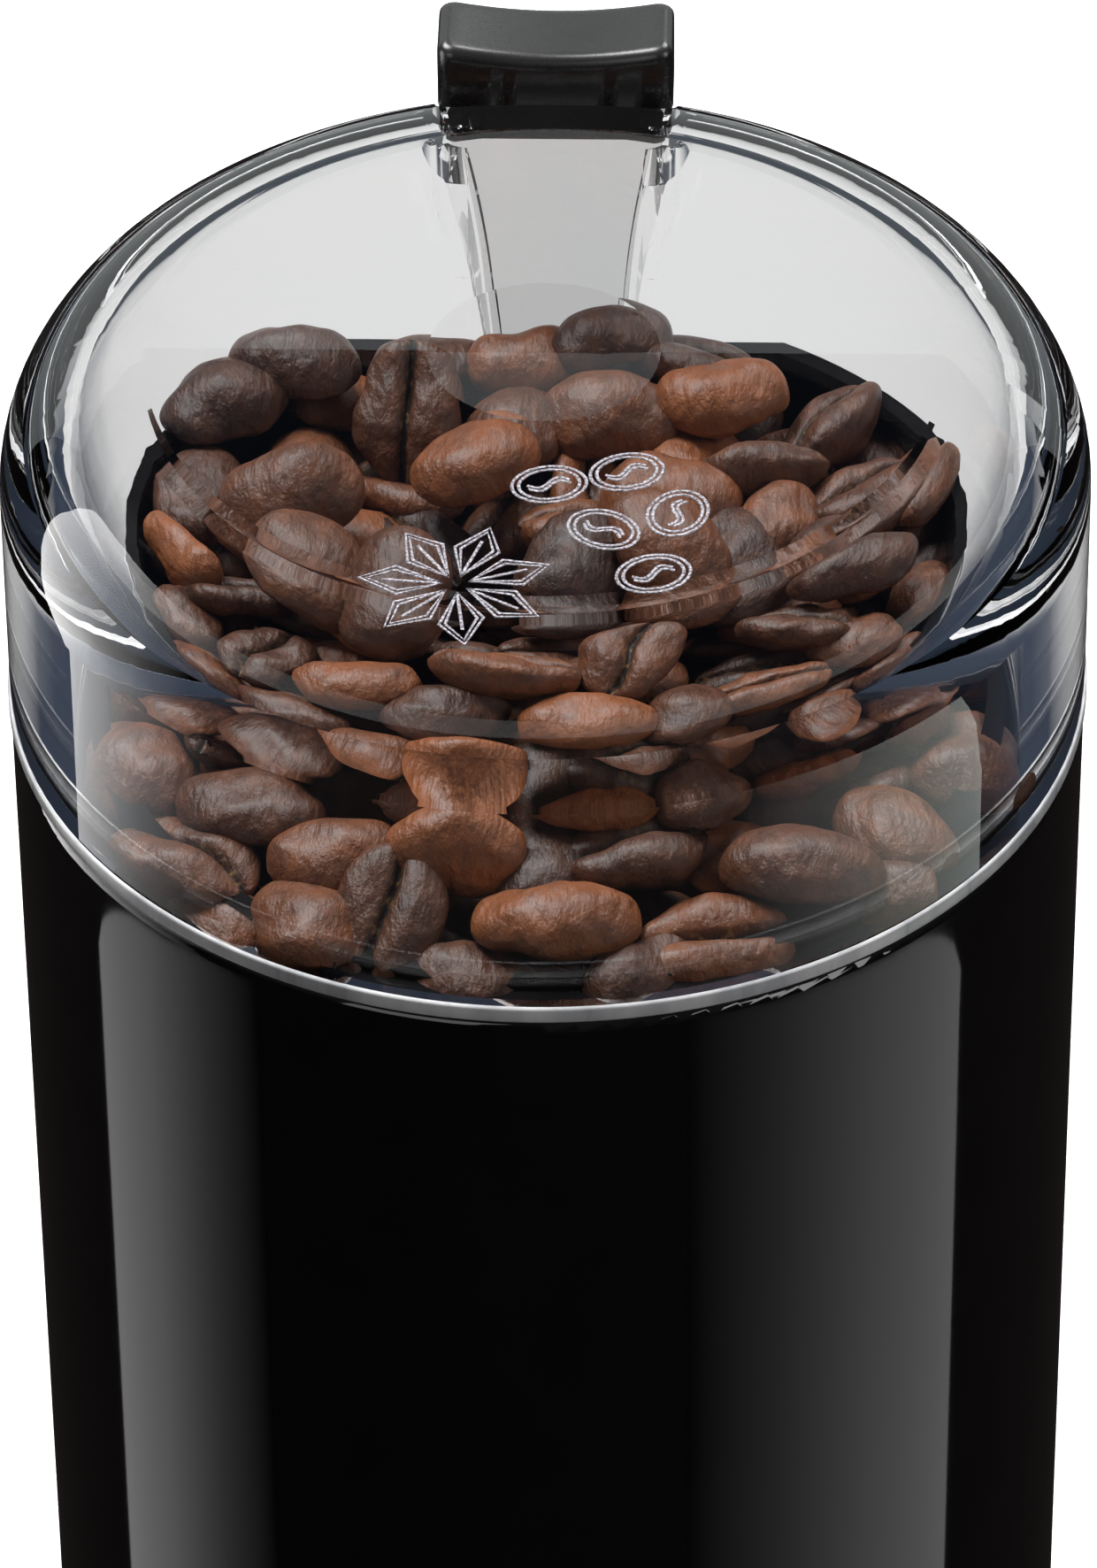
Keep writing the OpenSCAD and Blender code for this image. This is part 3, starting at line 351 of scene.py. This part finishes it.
def make_lights():
    over = (0, 0, SEAM)
    lamps = [
        area_light("key_light", (-0.24, 0.26, SEAM + 0.6), over, (0.3, 0.3), 6.0),
        area_light("crown_light", (0.2, 0.38, SEAM + 0.5), over, (0.25, 0.2), 2.2),
        area_light("front_fill", (-0.3, -0.6, SEAM + 0.5), over, (0.35, 0.5), 1.0),
        area_light("right_fill", (0.5, -0.2, SEAM + 0.35), over, (0.2, 0.4), 1.2),
    ]

    foot, gap, lid_foot = 0.02, 1.8 * MM, SEAM + 2 * MM
    side_softbox("softbox_left", -54, -30, foot, SEAM - gap,
                 [(0, 1.0), (0.35, 0.8), (0.7, 0.3), (1, 0.0)])
    side_softbox("softbox_right", 50.4, 16, foot, SEAM - gap,
                 [(0, 0.85), (0.35, 0.65), (0.7, 0.25), (1, 0.0)])
    side_softbox("veil_left", -57, -34, lid_foot, SEAM + 180 * MM,
                 [(0, (1, 0.99, 0.98)), (0.25, 0.7), (0.5, 0.34), (0.8, 0.1), (1, 0.0)], corner=0.012,
                 rise=[(0.0, 2.4), (0.12, 3.2), (0.3, 7.2), (1.0, 7.2)])
    side_softbox("veil_right", 53, 20, lid_foot, SEAM + 28 * MM,
                 [(0, (0.94, 1.0, 0.93)), (0.4, (0.7, 0.75, 0.69)), (0.75, 0.3), (1, 0.0)], corner=0.016,
                 rise=[(0.0, 1.3), (1.0, 1.6)])

    back, half_wide, low, steep = 0.5, 0.6, SEAM - 0.05, radians(36.3)
    top = SEAM + 33 * MM + back * tan(steep)
    corners = [(x, back, z) for z in (low, top) for x in (-half_wide, half_wide)]
    emitter("haze_panel", corners, grid_faces(2, 2), (0.64, 0.68, 0.69))
    return lamps


def keep_off_the_lid(lamps):
    """The lamps light everything but the clear parts, which would show them as hard white squares."""
    lit = bpy.data.collections.new("lit")
    clear = {frame["nodes"]["lid_shell"], frame["nodes"]["push_tongue"]}
    for thing in bpy.context.scene.objects:
        if thing.type == "MESH" and thing not in clear:
            lit.objects.link(thing)
    for lamp in lamps:
        lamp.light_linking.receiver_collection = lit


# ---------- finishes ----------

# What each slot's surface is, as dress() takes it: dark, light, rough, grain, depth, metal, stretch.
SURFACES = {
    "gloss_black": ((0.006, 0.0055, 0.0055), (0.008, 0.0075, 0.0075), (0.03, 0.06), 0.0006, 2e-7),
    "matte_black": ((0.010, 0.010, 0.011), (0.016, 0.016, 0.017), (0.4, 0.6), 0.0005, 2e-5),
    "black_rubber": ((0.012, 0.012, 0.012), (0.02, 0.02, 0.02), (0.6, 0.8), 0.0004, 2e-5),
    "zinc_screws": ((0.5, 0.52, 0.55), (0.66, 0.67, 0.68), (0.2, 0.4), 0.0003, 4e-6, 1),
    "stainless_steel": ((0.56, 0.55, 0.54), (0.66, 0.65, 0.64), (0.15, 0.3), 0.0004, 3e-6, 1, (1, 1, 8)),
    "spring_steel": ((0.4, 0.4, 0.42), (0.55, 0.55, 0.56), (0.2, 0.35), 0.0003, 3e-6, 1),
    "laminations": ((0.25, 0.25, 0.26), (0.4, 0.39, 0.38), (0.35, 0.6), 0.0005, 3e-5, 1, (0.05, 0.05, 1)),
    "copper": ((0.62, 0.24, 0.1), (0.78, 0.36, 0.18), (0.2, 0.4), 0.0006, 6e-5, 1, (1, 1, 0.1)),
    "cream_plastic": ((0.7, 0.64, 0.5), (0.78, 0.73, 0.6), (0.35, 0.5), 0.0005, 1e-5),
    "bronze": ((0.42, 0.26, 0.12), (0.55, 0.36, 0.18), (0.35, 0.55), 0.0003, 1e-5, 1),
    "brass": ((0.72, 0.5, 0.2), (0.82, 0.6, 0.28), (0.2, 0.35), 0.0004, 4e-6, 1),
    "carbon": ((0.02, 0.02, 0.022), (0.04, 0.04, 0.042), (0.5, 0.7), 0.0003, 1e-5),
    "yellow_film": ((0.72, 0.5, 0.05), (0.8, 0.6, 0.1), (0.25, 0.4), 0.0006, 1e-5),
    "fuse_can": ((0.55, 0.56, 0.57), (0.65, 0.66, 0.67), (0.2, 0.35), 0.0005, 4e-6, 1),
    "brown_wire": ((0.1, 0.045, 0.02), (0.14, 0.06, 0.03), (0.35, 0.5), 0.0005, 1e-5),
    "blue_wire": ((0.02, 0.08, 0.4), (0.03, 0.11, 0.5), (0.35, 0.5), 0.0005, 1e-5),
    "grey_wire": ((0.2, 0.2, 0.2), (0.28, 0.28, 0.28), (0.35, 0.5), 0.0005, 1e-5),
}


def clear_plastic(name, tint):
    material, _, shader = new_material(name)
    shader.inputs["Base Color"].default_value = (tint, tint, tint, 1)
    shader.inputs["Transmission Weight"].default_value = 1.0
    shader.inputs["IOR"].default_value = PLASTIC_IOR
    shader.inputs["Roughness"].default_value = 0.0
    return material


def make_finishes():
    finishes = {slot: dress(slot, *surface) for slot, surface in SURFACES.items()}
    finishes["clear_plastic"] = clear_plastic("clear_plastic", 1.0)
    return finishes


def finish_nodes(finishes):
    for node in frame["nodes"].values():
        for slot in node.material_slots:
            slot.material = finishes[slot.material.name.split(".")[0]]
    frame["nodes"]["push_tongue"].material_slots[0].material = clear_plastic("smoky_plastic", 0.72)


# ---------- beans ----------

# The beans that show most, placed one by one, each as (x, y, height above the seam, yaw, lean, roll, length,
# tone), in millimetres and degrees. Yaw 90 points to the back, lean lifts the far end, roll 0 is dome up and
# 180 crease up, and tone runs from dark to reddish.
TOP_BEANS = [
    (-12, 20, 10.5, 86, 44, 180, 12.2, 0.45), (-6, 12, 11, 32, 8, 0, 11.2, 0.8),
    (-21, 9, 10, 15, 8, 40, 12, 0.5), (-19, -1.5, 10.5, -50, -22, -10, 12.2, 0.5),
    # The two back-left beans, at (-27, 21) and (-21.5, 25), have low tones that are painted shade as well as
    # dark roast.
    (-27, 21, 10.5, 40, 0, 0, 11.6, 0.15), (-21.5, 25, 11.5, -20, 0, 0, 11.4, 0.2),
    (-12, -5, 10.5, 78, 32, 0, 12.4, 0.35), (-3, -13.5, 10, -8, -4, 146, 12.6, 0.65),
    (7, -11, 10, 74, 18, 184, 12, 0.55), (2, 0, 10, 62, 6, 0, 11.2, 0.1),
    (10, 1.5, 10.5, 128, 22, 0, 12, 0.6), (17.5, 13.5, 10.5, 4, 0, 142, 11, 0.4),
    (14, 21.5, 11, 12, 0, 0, 11.2, 0.9), (23, 21.5, 9, 58, 0, 150, 11, 0.35),
    (26, 11, 9.5, 28, 6, 158, 11.6, 0.4), (25, 0, 10.5, -6, 4, 4, 12.2, 0.25),
    (31, 12.5, 9, 70, 0, 0, 10.6, 0.5), (21, -5, 7.5, -24, 0, 152, 11.4, 0.35),
    (18.5, 6.5, 8.5, 62, 10, 30, 10.4, 0.65), (-2, 26.5, 10.5, 6, 0, 10, 11.4, 0.75),
    (4.5, 27.5, 12.5, 18, 0, 0, 10.8, 0.25), (11.5, 27, 11, -24, 0, 160, 11, 0.25),
    (5, 20.5, 9.5, 4, 0, 10, 12, 0.6), (-3, 19.5, 8.5, 80, 0, 0, 11, 0.45),
    (10, 9.5, 9.5, -6, 0, 8, 11.8, 0.75), (15.5, 3, 8, 88, 14, 0, 11.2, 0.2),
    (-30.5, 3.5, 7, -52, 0, 70, 10.8, 0.95), (-26, 0, 6.5, 10, 0, 160, 10.4, 0.25),
    (-10, 28, 8.5, 10, 0, 0, 11, 0.3), (-29, 12, 7.5, 70, 0, 0, 11.2, 0.25),
]
FRONT_BEANS = [
    (-22.5, -19, 2.5, -34, 6, -16, 12.4, 0.35), (-15.5, -25, 2.8, 8, 0, 20, 10.6, 0.65),
    (-11.5, -31, 2, 78, 34, 182, 12.2, 0.35), (-6.5, -25, 4, 2, 0, 78, 11.2, 0.9),
    (1.5, -32, 1.8, 3, 0, -24, 13, 0.85), (-17.5, -31, 0.8, -62, 0, 0, 11, 0.6),
    (20, -26, 2.5, -5, 0, -18, 12.6, 0.45), (13.5, -32, 0.5, 14, 0, 196, 12, 0.7),
    (-26.5, -24, 2, -42, 0, 170, 12, 0.5), (33, -12.5, 2.5, 74, 0, 0, 11.2, 0.4),
    (27, -20.5, 2, -60, 0, 0, 10.4, 0.55), (26.5, -26, -0.5, -34, 0, 80, 11, 0.4),
    (-31.5, -14.5, 2.5, -64, 0, 0, 11.4, 0.55), (7.5, -24.5, 4, 20, 0, 170, 11.4, 0.3),
    (4, -20, 6.5, 6, 0, 10, 11.8, 0.9), (-8, -18.5, 6, 40, 0, 0, 11.6, 0.25),
    (12.5, -18.5, 5.5, 84, 0, 0, 11.2, 0.35), (19.5, -14, 5.5, 20, 0, 170, 11.4, 0.65),
    (-15.5, -14.5, 6.5, 10, 0, 0, 11.6, 0.8), (-24, -10, 5.5, 60, 0, 176, 11.2, 0.3),
    (27, -8, 5.5, -50, 0, 0, 11, 0.5), (-32, -4.5, 3.5, 84, 0, 10, 11, 0.35),
    (33.5, 0, 4, 88, 0, 0, 10.8, 0.45), (8, -35, -1.5, 40, 0, 60, 10.6, 0.3),
    (-5, -35.3, -1.5, -14, 0, 30, 10.4, 0.3), (-24, -28.5, -1.5, -50, 0, 40, 10.8, 0.6),
]


def bean_shape(length, rows, columns, rng):
    """One bean as rows of points, and how deep in the crease each point lies. It lies along X, dome up, and
    is in millimetres."""
    half, wide = length / 2, length * rng.uniform(0.345, 0.37)
    dome, flat = length * rng.uniform(0.27, 0.3), length * 0.17
    sway = rng.uniform(-0.5, 0.5)
    hollow, hollow_w, groove, groove_w, dark_w = 0.75, 1.3, 1.1, 0.34, 0.42
    s = np.linspace(0.012, 0.988, rows)[:, None]
    tau = np.linspace(-pi, pi, columns, endpoint=False)[None, :]
    t = tau - 0.75 * np.sin(tau)
    girth = np.sin(pi * s) ** 0.82
    under = np.cos(t) > 0
    x = -half * np.cos(pi * s) * np.ones_like(t)
    y = wide * girth * np.sin(t)
    z = -np.cos(t) * np.where(under, flat, dome) * girth
    off = y - sway * np.sin(2.4 * x / half) * girth
    # The crease mask also marks where the skin is painted near-black as crease shade.
    crease = np.exp(-(off / dark_w) ** 2) * under
    sunk = hollow * np.exp(-(off / hollow_w) ** 2) + groove * np.exp(-(off / groove_w) ** 2)
    z += girth ** 0.6 * under * sunk
    for size, depth in ((7.5, 0.3), (4.2, 0.13), (2.4, 0.06)):
        swing = [rng.uniform(-1, 1) for _ in range(3)]
        period = size * sqrt(sum(v * v for v in swing))
        phase = 2 * pi * (swing[0] * x + swing[1] * y + swing[2] * z) / period
        dent = depth * np.sin(phase + rng.uniform(0, 2 * pi))
        y += dent * np.sin(t)
        z -= dent * np.cos(t)
    return np.stack([x, y, z], axis=-1).reshape(-1, 3), crease.reshape(-1)


def bean_turn(yaw, lean, roll):
    turn = (Matrix.Rotation(radians(yaw), 3, "Z") @ Matrix.Rotation(-radians(lean), 3, "Y")
            @ Matrix.Rotation(radians(roll), 3, "X"))
    return np.array(turn)


def pour(name, beans, rows, columns, seed):
    """Joins beans into one piece, with each bean's tone, crease and a number of its own as a colour."""
    rng = Random(seed)
    ring = grid_faces(rows, columns, close=True)
    ring += [tuple(range(columns - 1, -1, -1)), tuple(range((rows - 1) * columns, rows * columns))]
    points, faces, colours = [], [], []
    for x, y, z, yaw, lean, roll, length, tone in beans:
        shape, crease = bean_shape(length, rows, columns, rng)
        start = len(points) * rows * columns
        points.append(shape @ bean_turn(yaw, lean, roll).T * MM + np.array([x * MM, y * MM, SEAM + z * MM]))
        faces += [tuple(start + i for i in face) for face in ring]
        own = rng.random()
        colours.append(np.stack([np.full_like(crease, tone), crease, np.full_like(crease, own),
                                 np.ones_like(crease)], axis=-1))
    piece = mesh_object(name, np.concatenate(points), faces)
    layer = piece.data.color_attributes.new("bean", "FLOAT_COLOR", "POINT")
    layer.data.foreach_set("color", np.concatenate(colours).ravel())
    return piece


def heap_height(x, y):
    """Height above the seam, in millimetres, of the centres of the uppermost beans. It falls away outside a
    circle."""
    top, slope, centre_y, flat_r = 10.0, 0.26, 12, 12
    return top - slope * max(0.0, hypot(x, y - centre_y) - flat_r)


def filling_beans(seed):
    """Beans that fill the heap under and between the placed ones. They start in layers, are pushed apart in
    rounds, and stay inside the deck's mouth and the bowl. All in millimetres, above the seam."""
    layers, per_layer, layer_h, spread_r, cover = 4, 40, 4.6, 35, 2.5
    rounds, apart, step, flatness, roof_gap = 160, 7.6, 0.22, 1.25, 1.6
    rim_z, rim_r, bowl_r, flat_y, floor_z = 2, 33.5, 31.0, 27, -14
    rng = Random(seed)
    fixed = np.array([b[:3] for b in TOP_BEANS + FRONT_BEANS], float)
    loose = []
    for layer in range(layers):
        for _ in range(per_layer):
            r, a = spread_r * sqrt(rng.random()), rng.uniform(0, 2 * pi)
            x, y = r * cos(a), r * sin(a)
            loose.append([x, y, heap_height(x, y) - cover - layer_h * layer])
    loose = np.array(loose)
    for _ in range(rounds):
        everything = np.concatenate([fixed, loose])
        gap = loose[:, None, :] - everything[None, :, :]
        gap[:, :, 2] *= flatness
        far = np.linalg.norm(gap, axis=2) + 1e-6
        push = np.clip(apart - far, 0, None) / far
        push[np.arange(len(loose)), len(fixed) + np.arange(len(loose))] = 0
        loose += step * (gap * push[:, :, None]).sum(axis=1)
        reach = np.hypot(loose[:, 0], loose[:, 1])
        limit = np.where(loose[:, 2] > rim_z, rim_r, bowl_r)
        loose[:, :2] *= np.minimum(1, limit / np.maximum(reach, 1e-6))[:, None]
        loose[:, 1] = np.minimum(loose[:, 1], flat_y)
        roof = np.array([heap_height(x, y) - roof_gap for x, y, _ in loose])
        loose[:, 2] = np.clip(loose[:, 2], floor_z, roof)
    return [(x, y, z, rng.uniform(0, 360), rng.uniform(-25, 25), rng.choice([0, 180]) + rng.uniform(-40, 40),
             rng.uniform(10.2, 11.6), rng.random()) for x, y, z in loose]


def bean_skin():
    material, tree, shader = new_material("roasted_bean")
    shader.inputs["IOR"].default_value = PLASTIC_IOR
    shader.inputs["Coat Weight"].default_value = 0.2
    shader.inputs["Coat Roughness"].default_value = 0.3
    own = put(tree, "ShaderNodeVertexColor", layer_name="bean")
    part = put(tree, "ShaderNodeSeparateColor", [("Color", own.outputs["Color"])])
    tone, crease = part.outputs["Red"], part.outputs["Green"]
    patch = noise(tree, 0.0022, 5.0)
    shift = put(tree, "ShaderNodeMath", [(0, patch)], operation="MULTIPLY_ADD")
    shift.inputs[1].default_value = 0.9
    shift.inputs[2].default_value = -0.45
    mixed = put(tree, "ShaderNodeMath", [(0, tone), (1, shift.outputs["Value"])],
                operation="ADD", use_clamp=True)
    skin = ramp(tree, mixed.outputs["Value"],
                [(0.0, (0.026, 0.0105, 0.0065)), (0.45, (0.095, 0.035, 0.0165)), (1.0, (0.25, 0.08, 0.026))])
    # In the crease the skin is painted near-black as shade, with golden patches of chaff.
    chaff_and_crease_shade = ramp(tree, noise(tree, 0.0007, 2.0), [(0.52, (0.006, 0.003, 0.002)), (0.72, (0.3, 0.17, 0.07))])
    hue = put(tree, "ShaderNodeMix", data_type="RGBA")
    tree.links.new(crease, hue.inputs["Factor"])
    tree.links.new(skin, hue.inputs["A"])
    tree.links.new(chaff_and_crease_shade, hue.inputs["B"])
    fine = noise(tree, 0.00022, 3.0)
    creases = noise(tree, 0.0011, 4.0, stretch=(1, 0.4, 0.7))
    feed(tree, shader,
         Base_Color=hue.outputs["Result"],
         Roughness=spread(tree, patch, 0.36, 0.56),
         Normal=bump(tree, fine, 7e-5, 0.8, bump(tree, creases, 6e-4, 1.0)))
    return material


def make_beans():
    skin = bean_skin()
    for piece in (pour("beans_on_top", TOP_BEANS + FRONT_BEANS, 40, 40, seed=7),
                  pour("beans_below", filling_beans(seed=3), 24, 24, seed=11)):
        piece.data.materials.append(skin)
        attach(piece, "root")


# ---------- button ----------

def rounded_ring(half_x, half_y, corner, per_corner=8, per_side=16):
    """Points round a rounded rectangle, the same number whatever its size."""
    ring = []
    for quarter in range(4):
        cx = (half_x - corner) * (1 if quarter in (0, 3) else -1)
        cy = (half_y - corner) * (1 if quarter in (0, 1) else -1)
        for k in range(per_corner):
            a = pi / 2 * (quarter + k / (per_corner - 1))
            ring.append((cx + corner * cos(a), cy + corner * sin(a)))
        x, y = ring[-1]
        end = (-x, y) if quarter in (0, 2) else (x, -y)
        for k in range(1, per_side):
            ring.append((x + (end[0] - x) * k / per_side, y + (end[1] - y) * k / per_side))
    return ring


def make_button():
    """The press button with its dished top and softened edges. It stands for the CAD button."""
    low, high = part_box("press_button")
    middle = (low + high) / 2
    half_x, half_y = (high.x - low.x) / 2, (high.y - low.y) / 2
    soft, corner, dish, step, step_drop = 1.1 * MM, 1.4 * MM, 1.1 * MM, 1.0 * MM, 1.5 * MM
    edge_rows, top_rows = 6, 8
    step_z = LID_TOP - step_drop
    rows = [(half_x - step, half_y, corner, low.z), (half_x - step, half_y, corner, step_z),
            (half_x, half_y, corner, step_z), (half_x, half_y, corner, high.z - soft)]
    for k in range(1, edge_rows + 1):
        a = pi / 2 * k / edge_rows
        inset = soft * (1 - cos(a))
        z = high.z - soft + soft * sin(a)
        rows.append((half_x - inset, half_y - inset, corner - 0.5 * inset, z))
    for k in range(1, top_rows + 1):
        shrink = 1 - k / (top_rows + 1)
        rows.append(((half_x - soft) * shrink, (half_y - soft) * shrink, 0.8 * MM * shrink, high.z))
    points = []
    for hx, hy, r, z in rows:
        for x, y in rounded_ring(hx, hy, r):
            sag = dish * (1 - min(1.0, abs(x) / half_x) ** 2) * (z > high.z - 1.5 * soft)
            points.append((middle.x + x, middle.y + y, z - sag))
    count = len(rounded_ring(1, 1, 0.1))
    faces = grid_faces(len(rows), count, close=True)
    faces += [tuple(range(count - 1, -1, -1)), tuple(range((len(rows) - 1) * count, len(rows) * count))]
    button = mesh_object("button_cap", points, faces)
    finish = dress("button_black", (0.018, 0.018, 0.018), (0.022, 0.022, 0.022), (0.24, 0.32), 0.0004, 1.5e-6)
    button.data.materials.append(finish)
    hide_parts("press_button")
    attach(button, "press_button")


# ---------- slider spring ----------

def make_slider_coil(finish):
    """The slider's return spring, which in the real object shortens as the slider goes down; this copy keeps
    one length. It stands for the CAD spring.
    """
    coil = bpy.data.objects.new("slider_coil", frame["nodes"]["slider_spring"].data.copy())
    bpy.context.scene.collection.objects.link(coil)
    coil.data.materials.clear()
    coil.data.materials.append(finish)
    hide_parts("slider_spring")
    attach(coil, "root")
    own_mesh(coil)


# ---------- the lid's bright foot ----------

def make_foot_band():
    """The lid's lower edge catches the light all round; that highlight is painted on as a thin light-grey
    band of its own.
    """
    outer, low, high = LID_HIGH.x + 0.03 * MM, SEAM + 0.25 * MM, SEAM + 1.7 * MM
    edge, turns = 0.25 * MM, 192
    middle = outer - edge
    profile = [(middle - edge, low), (middle, low)]
    rounding = np.linspace(0.3, pi / 2, 4)
    profile += [(middle + edge * sin(a), low + edge - edge * cos(a)) for a in rounding]
    profile += [(middle + edge * sin(a), high - edge + edge * cos(a)) for a in rounding[::-1]]
    profile += [(middle, high), (middle - edge, high)]
    points = turned(profile, turns)
    band = mesh_object("lid_foot_band", points, grid_faces(len(profile), turns, close=True))
    material, tree, shader = new_material("lit_edge")
    shader.inputs["IOR"].default_value = PLASTIC_IOR
    streak = noise(tree, 0.004, 3.0, stretch=(1, 1, 0.2))
    # The light-grey base colour is the painted highlight of the lid's clear foot.
    feed(tree, shader, Base_Color=ramp(tree, streak, [(0.35, (0.5, 0.51, 0.53)), (0.65, (0.8, 0.8, 0.81))]),
         Roughness=spread(tree, streak, 0.2, 0.4))
    band.data.materials.append(material)
    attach(band, "lid")


# ---------- pictograms on the lid ----------

def stroke(outline, wide, z, thick, close=False):
    """A flat raised line of some width along 2-D points: its points and faces."""
    n = len(outline)
    points = []
    for i, here in enumerate(outline):
        before = outline[(i - 1) % n] if close or i else here
        after = outline[(i + 1) % n] if close or i < n - 1 else here
        along = (Vector(after) - Vector(before)).normalized()
        side = Vector((-along.y, along.x)) * wide / 2
        for lift, part in ((0, 1), (thick, 0.7), (thick, -0.7), (0, -1)):
            points.append((here[0] + side.x * part, here[1] + side.y * part, z + lift))
    spans = n if close else n - 1
    faces = []
    for i in range(spans):
        a, b = 4 * i, 4 * ((i + 1) % n)
        faces += [(a + k, a + k + 1, b + k + 1, b + k) for k in range(3)]
    return points, faces


def oval(cx, cy, half_long, half_wide, lean, count=36):
    out = []
    for k in range(count):
        a = 2 * pi * k / count
        x, y = half_long * cos(a), half_wide * sin(a)
        out.append((cx + x * cos(lean) - y * sin(lean), cy + x * sin(lean) + y * cos(lean)))
    return out


def crease_line(cx, cy, half_long, sway, lean, count=14):
    out = []
    for k in range(count):
        t = -1 + 2 * k / (count - 1)
        x, y = half_long * t, sway * sin(pi * t)
        out.append((cx + x * cos(lean) - y * sin(lean), cy + x * sin(lean) + y * cos(lean)))
    return out


def make_pictograms():
    """Printed outlines on top of the lid: five coffee beans, and a plain star of seed pods. Each line is two
    thin silver strokes:
    print, with the doubling a painted highlight for the lit sides of one raised line. Drawn in millimetres."""
    z, thick, wide = LID_TOP, 0.05 * MM, 0.3 * MM
    turn = Matrix.Rotation(EYE_AZIMUTH, 2)
    drawn = []
    beans = [(0.3, -17.6, 12), (6.4, -16.1, 20), (10.3, -21.5, 70), (4.5, -23.5, -35), (8.3, -29.2, 20)]
    half_long, half_wide, crease_half, sway = 2.95, 2.3, 1.7, 0.5
    for x, y, lean in beans:
        lean = radians(lean)
        # Each bean outline is drawn twice: the doubling is a painted highlight on the two sides of one raised
        # line.
        for size in (1.0, 0.82):
            drawn.append((oval(x, y, half_long * size, half_wide * size, lean), True))
        # Each crease line is drawn twice: the doubling is a painted highlight on the two sides of one raised
        # line.
        for shift in (-0.22, 0.22):
            start = (x - shift * sin(lean), y + shift * cos(lean))
            drawn.append((crease_line(*start, crease_half, sway, lean), False))
    hub, pods, first_turn = Vector((-7.0, -30.3)), 7, 0.35
    foot, left, right, tip, pod_half = 1.1, 4.4, 4.9, 5.6, 1.75
    for k in range(pods):
        lean = 2 * pi * (k + first_turn) / pods
        across = Vector((-sin(lean), cos(lean)))
        out = Vector((cos(lean), sin(lean)))
        # Each pod outline is drawn twice: the doubling is a painted highlight on the two sides of one raised
        # line.
        for size in (1.0, 0.72):
            side = across * pod_half * size
            pod = [hub + out * foot, hub + out * left + side, hub + out * (tip + 2.0 * size),
                   hub + out * right - side]
            drawn.append(([tuple(p) for p in pod], True))
        drawn.append(([tuple(hub + out * 1.2), tuple(hub + out * 5.8)], False))
    points, faces = [], []
    for outline, close in drawn:
        outline = [tuple(turn @ Vector(p) * MM) for p in outline]
        more, skin = stroke(outline, wide, z, thick, close)
        faces += [tuple(len(points) + i for i in face) for face in skin]
        points += more
    print_on = mesh_object("lid_pictograms", points, faces, smooth=False)
    material, tree, shader = new_material("silver_print_and_edge_highlights")
    shader.inputs["Metallic"].default_value = 0.6
    fine = noise(tree, 0.00025, 2.0)
    feed(tree, shader, Base_Color=ramp(tree, fine, [(0.38, (0.1, 0.09, 0.1)), (0.62, (0.42, 0.4, 0.44))]),
         Roughness=spread(tree, fine, 0.25, 0.6), Normal=bump(tree, fine, 6e-5))
    print_on.data.materials.append(material)
    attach(print_on, "lid")


# ---------- rendering ----------

def set_rendering():
    scene = bpy.context.scene
    scene.view_settings.view_transform = "Standard"
    scene.cycles.max_bounces = 24
    scene.cycles.transmission_bounces = 20
    scene.cycles.glossy_bounces = 12
    scene.cycles.diffuse_bounces = 3
    scene.cycles.transparent_max_bounces = 16
    scene.cycles.caustics_reflective = False
    scene.cycles.caustics_refractive = False
    scene.cycles.use_denoising = True


make_camera()
make_floor()
make_clear_backing()
make_world()
lamps = make_lights()
finishes = make_finishes()
finish_nodes(finishes)
make_beans()
make_button()
make_slider_coil(finishes["spring_steel"])
make_foot_band()
make_pictograms()
for name in ("lid_shell", "push_tongue"):
    frame["nodes"][name].visible_shadow = False
keep_off_the_lid(lamps)
set_rendering()
